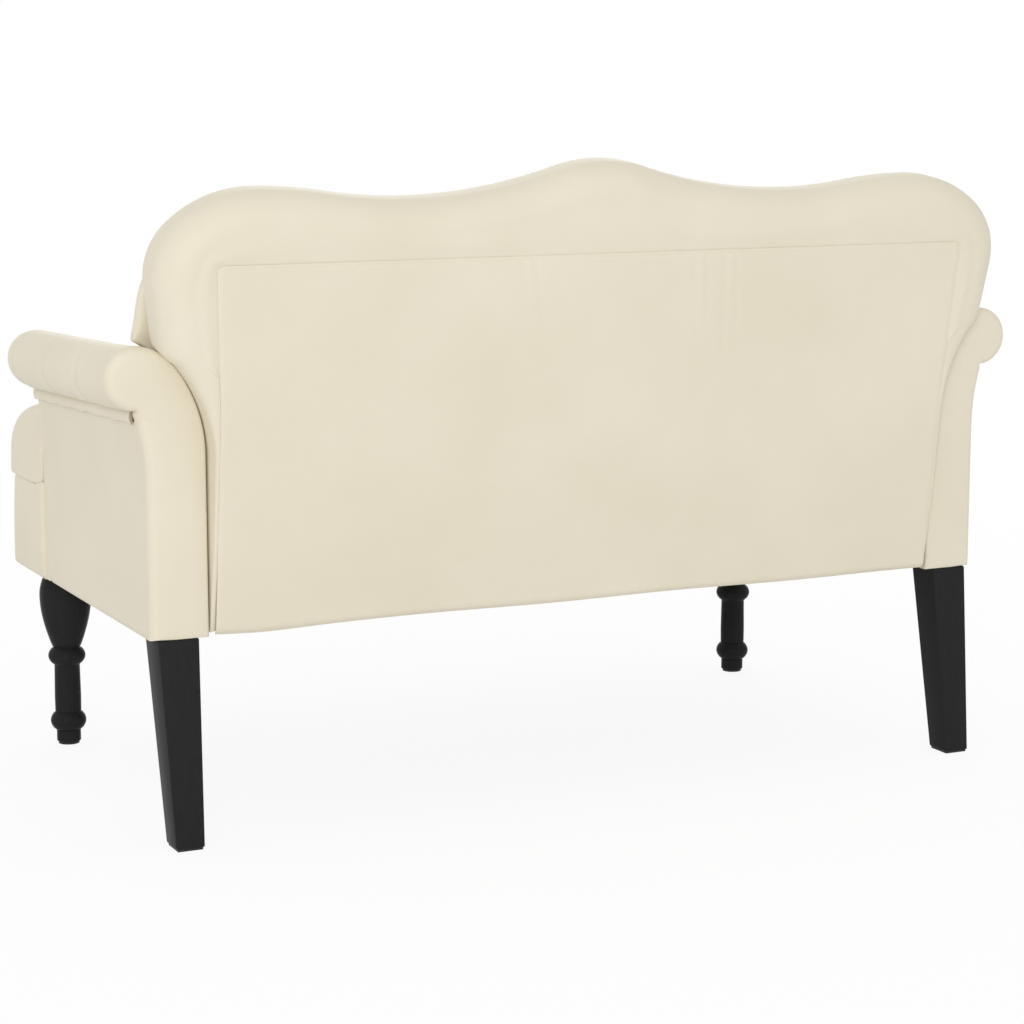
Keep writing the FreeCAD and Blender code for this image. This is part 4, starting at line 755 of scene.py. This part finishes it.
arm_pad = lay("arm_pad_left_shown", 150, 170, arm_pad_path)
pad_x, pad_y, pad_z = points_of(arm_pad).T
arm_pad_near = pleat_depths(pad_y)[1]
from_ends = np.min([np.abs(pad_y - end) for end in arm_pad_ends], axis=0)
spots_far = [np.hypot(pad_y - spot_y, pad_z - spot_z) for spot_y, spot_z in arm_button_spots]
from_buttons = np.min(spots_far, axis=0) + 0.1 * (pad_x > 0.54)
arm_pad_room = 0.0022 * between(np.minimum(arm_pad_near, from_ends), 0, 0.02)
arm_pad_room *= between(from_buttons, 0.012, 0.032)
arm_pad_room[pad_z < arm_pad_foot + 0.004] = 0
stuff(arm_pad, arm_pad_room)
# Painted shade: the leather darkens faintly along the three pleats.
mark_fold_shade(arm_pad, 0.05 * close_by(arm_pad_near, 0.0040))
thicken(arm_pad, 0.009)
for piece in settle_pair(arm_pad, leather, "cream_leather", "arm_pad"):
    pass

# Arm buttons: small domed moulds covered with the same leather, each pulled down by twine into the
# inside of an arm.
bpy.ops.object.select_all(action="DESELECT")
bpy.ops.mesh.primitive_uv_sphere_add(segments=36, ring_count=18, radius=0.012)
button = start("button_pattern")
button_points = points_of(button)
button_points[:, 2] *= np.where(button_points[:, 2] > 0, 0.5, 0.28)
move_points(button, button_points)
pick(button, np.abs(face_middles(button)[:, 2]) < 0.0009)
bpy.ops.mesh.inset(thickness=0.0004, depth=-0.0004)
finish_edit()
alone(button)
bpy.ops.object.shade_smooth()


def sew_on(name, places):
    """Copy the button to each place, with the directions of its width, depth and rise, as one piece."""
    copies = []
    for number, (place, turn) in enumerate(places):
        twin = copied(button, f"{name}_{number}")
        move_points(twin, points_of(twin) @ np.array(turn, float) + np.array(place))
        copies.append(twin)
    bpy.ops.object.select_all(action="DESELECT")
    for twin in copies:
        twin.select_set(True)
    bpy.context.view_layer.objects.active = copies[0]
    bpy.ops.object.join()
    copies[0].name = name
    copies[0].data.name = name
    mark_fold_shade(copies[0], np.zeros(len(copies[0].data.vertices)))
    return copies[0]


arm_button_places = []
for side in (1, -1):
    for spot in arm_button_spots:
        place = (side * (arm_inner + arm_button_seat), *spot)
        arm_button_places.append((place, ((0, side, 0), (0, 0, -1), (-side, 0, 0))))
arm_buttons = sew_on("arm_buttons_shown", arm_button_places)
settle(arm_buttons, leather, "cream_leather", "arm_buttons")

# Outside arms: a plain panel of cream leather over thin wadding on each side, stretched from the
# hem to the tacking band and flaring out under the roll.
outside_hem = 0.236
neck_drop, band_cover = 0.0035, 0.0085
flare_height, flare_out = 0.076, 0.011
neck_height = roll_z - roll_radius - neck_drop


def outside_arm_path(across, up):
    y = arm_pad_ends[0] + (arm_pad_ends[1] - arm_pad_ends[0]) * across
    neck = neck_height - arm_drop(y)
    z = outside_hem + (neck - band_cover - outside_hem) * up
    flare = between(z, neck - flare_height, neck)
    swell = 0.0012 * np.sqrt(np.sin(math.pi * across) * np.sin(math.pi * up))
    turned_under = 0.0035 * np.maximum(1 - up / 0.03, 0) ** 2
    return arm_outer + flare_out * flare**2 + swell - turned_under, y, z


outside_arm = thicken(lay("arm_outside_panel_left_shown", 90, 70, outside_arm_path), 0.004)
outside_arms = settle_pair(outside_arm, leather, "cream_leather", "arm_outside_panel")


# Tacking bands: a narrow padded strip of leather under each roll that hides the tacks. It stops a
# little short of the rear facing, and its lower edge waves faintly from tack to tack.
def close_up(piece):
    """Join a tube's long seam, close its ends and turn its faces outwards."""
    pick_all(piece)
    bpy.ops.mesh.remove_doubles(threshold=0.00001)
    bpy.ops.mesh.fill_holes(sides=0)
    bpy.ops.mesh.select_all(action="SELECT")
    bpy.ops.mesh.normals_make_consistent(inside=False)
    finish_edit()
    return smooth(piece, 50)


band_back, band_edge, band_face = 0.5598, 0.5608, 0.5632
band_section = Outline([
    (band_back, -0.0105),
    arc_through((band_edge, -0.0108), (band_face, -0.0050), (band_edge + 0.001, 0.0038)),
    (band_back, 0.0038),
    (band_back, -0.0105),
], closed=True)
band_ends = (-0.1490, 0.2390)


def band_path(across, up):
    y = band_ends[0] + (band_ends[1] - band_ends[0]) * up
    x, height = band_section.at(across)
    low = between(-height, 0.002, 0.010)
    waves = 0.0006 * np.sin(y * 96 + 0.7) + 0.0004 * np.sin(y * 211)
    return x + 0.0003 * np.sin(y * 150), y, neck_height - arm_drop(y) + height + low * waves


band = close_up(lay("arm_tack_band_left_shown", 44, 110, band_path))
# Painted shade: the band's rear end is darkened strongly, as the shade in the slit before the rear facing.
mark_fold_shade(band, 0.9 * (points_of(band)[:, 1] > band_ends[1] - 0.0005))
for piece in settle_pair(band, leather, "cream_leather", "arm_tack_band"):
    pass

# Arm facings: a scroll-shaped padded panel at the front and rear end of each arm, leather over
# wadding on a board, nailed on last. Its edges are soft and its face is nearly flat.
facing_thick, facing_foot = 0.0177, 0.238
neck_point = (arm_outer + flare_out, neck_height)
flare_middle = (arm_outer + flare_out / 4, neck_height - flare_height / 2)
flare_end = (arm_outer, neck_height - flare_height)
scroll = Outline([
    (arm_inner, 0.243),
    scroll_curve(0),
    roll_arc(roll_radius, 90, -90),
    arc_through(neck_point, flare_middle, flare_end),
    arc_through((arm_outer, 0.243), (arm_outer - 0.0015, 0.2395), (arm_outer - 0.005, facing_foot)),
    arc_through((arm_inner + 0.005, facing_foot), (arm_inner + 0.0015, 0.2395), (arm_inner, 0.243)),
], closed=True)


def make_facing(name, seat, direction, side_round, drawn_in):
    """Make a left-hand facing that stands out from seat, softest round the roll and at its outer side."""
    rim_end, turn_end = 0.15, 0.6

    def facing_path(across, up):
        rim = between(up, 0, rim_end)
        turn = between(up, rim_end, turn_end) * math.pi / 2
        face = between(up, turn_end, 1)
        rim_x, rim_z = scroll.at(across)
        outer = between(rim_x, 0.520, 0.545)
        at_roll = between(rim_z, 0.440, 0.500)
        soft = 0.004 + outer * (side_round + (0.0075 - side_round) * at_roll)
        inset = soft * (1 - np.cos(turn)) + 0.015 * face + drawn_in * at_roll * outer
        stands = (facing_thick - soft) * rim + soft * np.sin(turn) + 0.0009 * np.sin(face * math.pi / 2)
        x, z = scroll.at(across, inset)
        low = facing_foot + 0.3 * inset
        x = np.where(rim_z < facing_foot + 0.02, np.clip(x, arm_inner + inset, arm_outer - inset), x)
        z = np.where(rim_z < facing_foot + 0.0052, low, np.maximum(z, low))
        return x, seat + direction * stands, lowered(z, seat + facing_thick * (direction > 0), facing_foot)

    return close_up(lay(name, 320, 26, facing_path))


facing_ends = {
    "front": {"seat": -0.1463, "direction": -1, "side_round": 0.001, "drawn_in": 0.002},
    "rear": {"seat": 0.2413, "direction": 1, "side_round": 0.0065, "drawn_in": 0},
}
for end, measures in facing_ends.items():
    facing = make_facing(f"arm_{end}_facing_left_shown", **measures)
    for piece in settle_pair(facing, leather, "cream_leather", f"arm_{end}_facing"):
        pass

# Back border: cream leather over wadding, drawn from the rear over the camelback rail and round
# the wings to the front, and slipped down between the arms. The outside back covers its rear edge.
lean_sine, lean_cosine = math.sin(math.radians(7)), math.cos(math.radians(7))
back_foot_y, back_foot_z = 0.2613, 0.236
back_thick, back_round, back_slit, back_hem = 0.088, 0.036, 0.0020, 0.005
panel_low, panel_flare, panel_top, panel_corner = 0.4745, 0.009, 0.426, 0.010
panel_middle, panel_bend = 0.200, 0.250


def leaning(x, depth, height):
    """Turn a place on the sloping back into a place on the bench. Depth counts to the rear."""
    y = back_foot_y + depth * lean_cosine + height * lean_sine
    return x, y, back_foot_z - depth * lean_sine + height * lean_cosine


def on_slope(places):
    """Turn places on the rear facing of an arm into places on the sloping back."""
    rise = places[:, 1] - back_foot_z
    behind = back_foot_y - arm_rear + rise * lean_sine
    return np.stack((places[:, 0], (rise - behind * lean_sine) / lean_cosine), 1)


def go_on(line, radius, low, high, up):
    """Carry a line on along an arc that turns from slope low to slope high."""
    x, z = line[-1]
    turn = np.radians(np.linspace(low, high, 26)[1:])
    first = math.radians(low)
    line += list(zip(
        x + up * radius * (np.sin(turn) - math.sin(first)),
        z - up * radius * (math.cos(first) - np.cos(turn)),
    ))


crest_slope, shoulder_slope, corner_slope, wing_slope = 17.75, 9.25, 39.2, 8.0
crest_radius, valley_place, shoulder_place = 0.180, 0.250, 0.427
valley_radius = valley_place / math.sin(math.radians(crest_slope)) - crest_radius
swing_radius = (shoulder_place - valley_place) / math.sin(math.radians(shoulder_slope)) / 2
camelback = [(0.0, 0.5286)]
go_on(camelback, crest_radius, 0, crest_slope, 1)
go_on(camelback, valley_radius, crest_slope, 0, -1)
go_on(camelback, swing_radius, 0, -shoulder_slope, -1)
go_on(camelback, swing_radius, -shoulder_slope, 0, 1)
go_on(camelback, 0.141, 0, corner_slope, 1)
go_on(camelback, 0.085, corner_slope, 90 + wing_slope, 1)
arm_side = on_slope(scroll_curve(-back_slit))
closing = np.clip(np.linspace(0, 2, len(arm_side)), 0, 1)[:, None]
arm_side += (on_slope(scroll_curve(0.0008)) - arm_side) * closing
wing_height = arm_side[-1, 1] - 0.001
wing_run = (camelback[-1][1] - wing_height) * math.tan(math.radians(wing_slope))
wing = (camelback[-1][0] - wing_run, wing_height)
half_back = np.concatenate([
    camelback,
    arc_through(wing, arm_side[32], arm_side[23]),
    arm_side[22::-1],
    [(arm_inner - back_slit, back_hem)],
])
back_line = Outline([(half_back * (-1, 1))[::-1], half_back[1:]])


def panel_half(z):
    """Give half the outside back's width: upright beside the arms, and wider above them."""
    return panel_low + panel_flare * between(z, panel_bend, panel_top)


panel_turn = np.linspace(math.pi / 2, 0, 12)
panel_rim = Outline([
    (0.0, panel_top),
    np.stack((
        panel_low + panel_flare - panel_corner * (1 - np.cos(panel_turn)),
        panel_top - panel_corner * (1 - np.sin(panel_turn)),
    ), 1),
    (panel_low, panel_bend),
    (panel_low, back_hem),
]).path
panel_turns = np.arctan2(panel_rim[:, 0], panel_rim[:, 1] - panel_middle)
panel_spans = np.hypot(panel_rim[:, 0], panel_rim[:, 1] - panel_middle)


def panel_edge(x, z, inset):
    """Give the place where the line from the middle of the back to x, z meets the outside back's edge."""
    rise = z - panel_middle
    span = np.interp(np.arctan2(np.abs(x), rise), panel_turns, panel_spans)
    share = (span - inset) / np.hypot(x, rise)
    return x * share, panel_middle + rise * share


def nearest(x, z, line):
    """Give how far places are from a line of straight runs."""
    far = np.full(np.shape(x), 1.0)
    for (first_x, first_z), (run_x, run_z) in zip(line, np.diff(line, axis=0)):
        from_x, from_z = x - first_x, z - first_z
        share = np.clip((from_x * run_x + from_z * run_z) / (run_x * run_x + run_z * run_z), 0, 1)
        far = np.minimum(far, np.hypot(from_x - share * run_x, from_z - share * run_z))
    return far


wing_low = (wing[0] - wing[1] * math.tan(math.radians(wing_slope)), 0.0)
left_line = back_line.path[600:]
tip = np.argmin(np.hypot(*(left_line - wing).T))
outer_line = np.vstack((left_line[:tip + 1], [wing_low]))
arm_line = left_line[tip:]


def fallen(inset, radius, ease=2):
    """Give how far a face has fallen back at a distance from an edge that is rounded off."""
    short = np.clip(1 - inset / radius, 0, 1)
    return radius * (1 - np.sqrt(1 - short**ease))


tuck_end, face_end, rear_end, side_end, front_end = 0.06, 0.44, 0.64, 0.70, 0.90


def border_path(along, up):
    edge_x, edge_z = back_line.at(1 - along)
    tuck_x, tuck_z = panel_edge(edge_x, edge_z, 0.007)
    seam_x, seam_z = panel_edge(edge_x, edge_z, -0.0005)
    width = np.maximum(np.hypot(edge_x - seam_x, edge_z - seam_z), 1e-6)
    ray_x, ray_z = (edge_x - seam_x) / width, (edge_z - seam_z) / width
    reach = np.minimum(0.040, 0.95 * width)
    hidden = between(up, 0, tuck_end)
    face = between(up, tuck_end, face_end)
    rear_turn = between(up, face_end, rear_end) * math.pi / 2
    side_run = between(up, rear_end, side_end)
    front_turn = between(up, side_end, front_end) * math.pi / 2
    front = between(up, front_end, 1)
    from_edge = np.where(up < face_end, width + (reach - width) * face, reach * (1 - np.sin(rear_turn)))
    from_edge = np.where(up > side_end, reach * (1 - np.cos(front_turn)) + 0.022 * front, from_edge)
    x, z = edge_x - ray_x * from_edge, edge_z - ray_z * from_edge
    arm_round = np.minimum(0.038, 0.95 * nearest(np.abs(seam_x), seam_z, arm_line))
    by_arm = fallen(nearest(np.abs(x), z, arm_line), arm_round, 3)
    by_top = fallen(nearest(np.abs(x), z, outer_line), back_round)
    fall = np.minimum(np.cbrt(by_arm**3 + by_top**3), 0.042)
    crown = 0.0015 * np.sin(math.pi * face) ** 2 * between(width, 0, 0.05)
    sunk = 0.0007 * np.exp(-np.maximum(width - from_edge, 0) / 0.0025) + 0.0017 * (1 - hidden)
    front_fall = fall * (1 - 0.25 * between(np.abs(edge_x), 0.52, 0.55))
    depth = np.where(up < rear_end, crown - sunk, 0) - fall + (fall + front_fall - back_thick) * side_run
    x = np.where(up < tuck_end, tuck_x + (seam_x - tuck_x) * hidden, x)
    z = np.where(up < tuck_end, tuck_z + (seam_z - tuck_z) * hidden, z)
    return leaning(x, depth, z)


border = lay("back_border_shown", 560, 70, border_path)
border_points = points_of(border)
border_x, border_y, border_z = border_points.T
fold_line = np.array(((-0.018, 0.762), (-0.085, 0.728)))
fold_run = fold_line[1] - fold_line[0]
fold_share = (border_points[:, (0, 2)] - fold_line[0]) @ fold_run / (fold_run @ fold_run)
fold_depth = close_by(nearest(border_x, border_z, fold_line), 0.006) * (border_y > 0.29)
fold_depth *= np.sin(math.pi * np.clip(fold_share, 0.04, 0.96))
move_points(border, border_points - out_of(border) * (0.0012 * fold_depth)[:, None])
thicken(border, 0.003)
settle(border, leather, "cream_leather", "back_border")

# Outside back: a large plain panel of cream leather, blind-tacked along the top and sewn down
# both sides over the border's edge. It is a little slack, so that creases hang from the top seam.
creases = ((0.108, 0.098, 0.060), (-0.117, -0.124, 0.085), (-0.158, -0.163, 0.100))
panel_upright = 0.9


def outside_back_path(across, up):
    corner = between(up, panel_upright, 1) * math.pi / 2
    upright = back_hem + (panel_top - panel_corner - back_hem) * up / panel_upright
    z = np.where(up < panel_upright, upright, panel_top - panel_corner * (1 - np.sin(corner)))
    half = panel_half(z) - panel_corner * (1 - np.cos(corner))
    x = half * (1 - 2 * across)
    into_corner = np.hypot(
        np.maximum(np.abs(x) - panel_low - panel_flare + panel_corner, 0),
        np.maximum(z - panel_top + panel_corner, 0),
    )
    from_edge = np.minimum(panel_half(z) - np.abs(x), panel_top - z)
    from_edge = np.where(into_corner > 0, np.minimum(from_edge, panel_corner - into_corner), from_edge)
    rolled = 0.0011 * np.maximum(1 - np.maximum(from_edge, 0) / 0.0018, 0) ** 2
    stitched = 0.0003 * close_by(panel_top - z - 0.0045, 0.0012)
    turned_under = 0.0035 * np.maximum(1 - (z - back_hem) / 0.007, 0) ** 2
    slack = 0.0008 * np.sin(math.pi * up) * np.sin(math.pi * across)
    below = panel_top - z
    ridges = 0
    for top_x, low_x, reach in creases:
        aside = x - (top_x + (low_x - top_x) * below / reach)
        fade = close_by(below, reach) * between(below, 0, 0.006)
        ridges = ridges + 0.0007 * fade * np.cos(aside * 370) * close_by(aside, 0.014)
    hem = 0.0025 * close_by(x - 0.42, 0.06) + 0.0007 * np.sin(x * 19 + 0.6)
    z = z - hem * np.exp(-(z - back_hem) / 0.03)
    return leaning(x, 0.0006 + slack + ridges - rolled - stitched - turned_under, z)


outside_back = thicken(lay("back_outside_panel_shown", 300, 150, outside_back_path), 0.0015)
settle(outside_back, leather, "cream_leather", "back_outside_panel")

# Inside back: cream leather over deep wadding, pulled down by buttons in staggered rows, so that
# it stands up in pillows, with folds from button to button and pleats out to its edges.
def off_slope(points):
    """Turn places on the bench into places on the sloping back."""
    y, z = points[:, 1] - back_foot_y, points[:, 2] - back_foot_z
    return points[:, 0], y * lean_cosine - z * lean_sine, y * lean_sine + z * lean_cosine


inside_back = merged_copy("back_inside_pad", "back_inside_pad_shown")
reskin(inside_back, 0.0055, 4)
inside_points = points_of(inside_back)
inside_x, inside_y, inside_z = inside_points.T
to_arm = np.full((len(inside_points), 2), 1.0)
for arm_x, arm_z in scroll_curve(-0.001)[::2]:
    step = np.stack((arm_x - np.abs(inside_x), arm_z - arm_drop(inside_y) - inside_z), 1)
    nearer = np.linalg.norm(step, axis=1) < np.linalg.norm(to_arm, axis=1)
    to_arm[nearer] = step[nearer]
draw_near = np.maximum(1 - (np.linalg.norm(to_arm, axis=1) / 0.042) ** 2, 0)
inside_x += to_arm[:, 0] * draw_near * np.sign(inside_x)
inside_z += to_arm[:, 1] * draw_near
on_wing = between(np.abs(inside_x), 0.500, 0.530) * between(inside_z, 0.570, 0.590)
from_border = -back_thick - off_slope(inside_points)[1]
wing_draw = 0.003 + 0.008 * between(inside_z, 0.600, 0.670)
wing_draw += 0.006 * np.clip(1 - from_border / 0.020, 0, 1) ** 2
inside_x -= wing_draw * on_wing * np.sign(inside_x)
move_points(inside_back, inside_points)
soften(inside_back, 2)
tuft_step, tuft_rows, row_step = 0.067, (0.410, 0.330, 0.250), 0.080
tuft_columns = 6
button_seats = (-0.1322, -0.1385, -0.1310)
tufts = [
    (column * tuft_step, seat, row_z)
    for row, (row_z, seat) in enumerate(zip(tuft_rows, button_seats))
    for column in range(-tuft_columns, tuft_columns + 1)
    if (row + column) % 2 == 0
]


def fold_distance(points):
    """Give how far places lie from a fold, from a button and past the tufts, and how deep they lie."""
    x, depth, z = off_slope(points)
    along = np.clip(x / tuft_step, -tuft_columns, tuft_columns)
    down = np.clip((tuft_rows[0] - z) / row_step, 0, 2)
    rising = np.abs((along + down) / 2 - np.round((along + down) / 2))
    falling = np.abs((along - down) / 2 - np.round((along - down) / 2))
    wide = 2 * tuft_step * row_step / math.hypot(tuft_step, row_step)
    from_fold = np.minimum(rising, falling) * wide
    aside = np.abs(x) - tuft_columns * tuft_step
    beyond = np.maximum.reduce([z - tuft_rows[0], tuft_rows[-1] - z, aside, np.zeros_like(x)])
    from_button = np.min([np.hypot(x - tuft_x, z - tuft_z) for tuft_x, seat, tuft_z in tufts], axis=0)
    return from_fold, from_button, beyond, depth


inside_points = points_of(inside_back)
from_fold, from_button, beyond, inside_depth = fold_distance(inside_points)
facing_front = np.clip(-out_of(inside_back)[:, 1], 0, 1)
inside_room = (0.0006 + 0.006 * facing_front) * between(from_fold, 0.002, 0.022)
inside_room *= between(from_button, 0.014, 0.034)
inside_room[inside_depth > -back_thick - 0.004] = 0
stuff(inside_back, inside_room)
divide(inside_back)
inside_points = points_of(inside_back)
from_fold, from_button, beyond, inside_depth = fold_distance(inside_points)
facing_front = np.clip(-out_of(inside_back)[:, 1] * 1.5, 0, 1)
sharp = close_by(from_fold, 0.0032) * close_by(beyond, 0.045) * facing_front
move_points(inside_back, inside_points - out_of(inside_back) * (0.0024 * sharp)[:, None])
# Painted shade: the leather darkens along the folds between the tufts and in the hollows round the buttons,
# where they face forward.
mark_fold_shade(inside_back, 0.45 * sharp + 0.5 * np.exp(-((from_button / 0.014) ** 4)) * facing_front)
settle(inside_back, leather, "cream_leather", "back_inside_pad")

# Back buttons: the same leather-covered buttons, drawn through the inside back by twine that is
# tied off behind the webbing.
back_turn = ((1, 0, 0), (0, lean_sine, lean_cosine), (0, -lean_cosine, lean_sine))
back_buttons = sew_on("back_buttons_shown", [(leaning(*tuft), back_turn) for tuft in tufts])
settle(back_buttons, leather, "cream_leather", "back_buttons")
bpy.data.objects.remove(button)


# Studio: a wide pale floor, a white room that lights the bench evenly from all round, and two
# large soft lamps, one behind the bench on the camera's side and one before the seat.
def show_white(studio, white, share=1.0):
    """Mix plain white into a finish, by a share, for rays from the camera, a mirror or a pane."""
    surface = studio.shader.outputs[0].links[0].to_socket
    seen = 0.0
    for ray in ("Camera", "Glossy", "Transmission"):
        seen = studio.math("MAXIMUM", seen, studio.node("ShaderNodeLightPath", {}, {}, f"Is {ray} Ray"))
    shaders = {"Fac": seen * share, 1: Shade(studio, studio.shader.outputs[0]), 2: white}
    studio.join(surface, studio.node("ShaderNodeMixShader", {}, shaders))


plain_white = (1, 1, 1, 1)
room = Finish("white_room", bpy.data.worlds, "Background", Color=plain_white, Strength=0.785)
bpy.context.scene.world = room.owner
show_white(room, room.node("ShaderNodeBackground", {}, {"Color": plain_white, "Strength": 1.0}))

bpy.ops.object.select_all(action="DESELECT")
bpy.ops.mesh.primitive_plane_add(size=80, location=(0, 0, 0))
floor = start("studio_floor")
floor_grey = (0.93, 0.93, 0.93, 1)
floor_paint = Finish("pale_floor", Base_Color=floor_grey, Roughness=0.9, Specular_IOR_Level=0.1)
floor_place = {0: floor_paint.place}
floor_far = floor_paint.node("ShaderNodeVectorMath", {"operation": "LENGTH"}, floor_place, "Value")
floor_fade = {"Value": floor_far, "From Min": 0.6, "From Max": 2.6, "To Min": 0.9, "To Max": 1.0}
floor_share = floor_paint.node("ShaderNodeMapRange", {}, floor_fade, "Result")
show_white(floor_paint, floor_paint.node("ShaderNodeEmission", {}, {"Color": plain_white}), floor_share)
floor.data.materials.append(floor_paint.owner)


def hang_lamp(name, place, aim, size, power):
    lamp = bpy.data.lights.new(name, "AREA")
    lamp.shape = "DISK"
    lamp.size = size
    lamp.energy = power
    holder = bpy.data.objects.new(name, lamp)
    bpy.context.scene.collection.objects.link(holder)
    holder.location = place
    towards = mathutils.Vector(aim) - mathutils.Vector(place)
    holder.rotation_euler = towards.to_track_quat("-Z", "Y").to_euler()


hang_lamp("lamp_behind", place=(2.6, 4.5, 1.9), aim=(0, 0.1, 0.4), size=1.2, power=65)
hang_lamp("lamp_before", place=(-1.8, -4.4, 2.0), aim=(0, 0, 0.4), size=3.0, power=42)

# Camera: behind the bench, a little to its left and above the seat, as in the photograph, with a
# long lens that looks slightly down.
lens = bpy.data.cameras.new("photograph")
lens.sensor_width = 36
lens.lens = 95.95
camera = bpy.data.objects.new("photograph", lens)
bpy.context.scene.collection.objects.link(camera)
camera.location = (1.4685, 3.1233, 0.8782)
camera.rotation_euler = (math.radians(80.62), 0, math.radians(154.53))
bpy.context.scene.camera = camera
bpy.context.scene.view_settings.view_transform = "Standard"
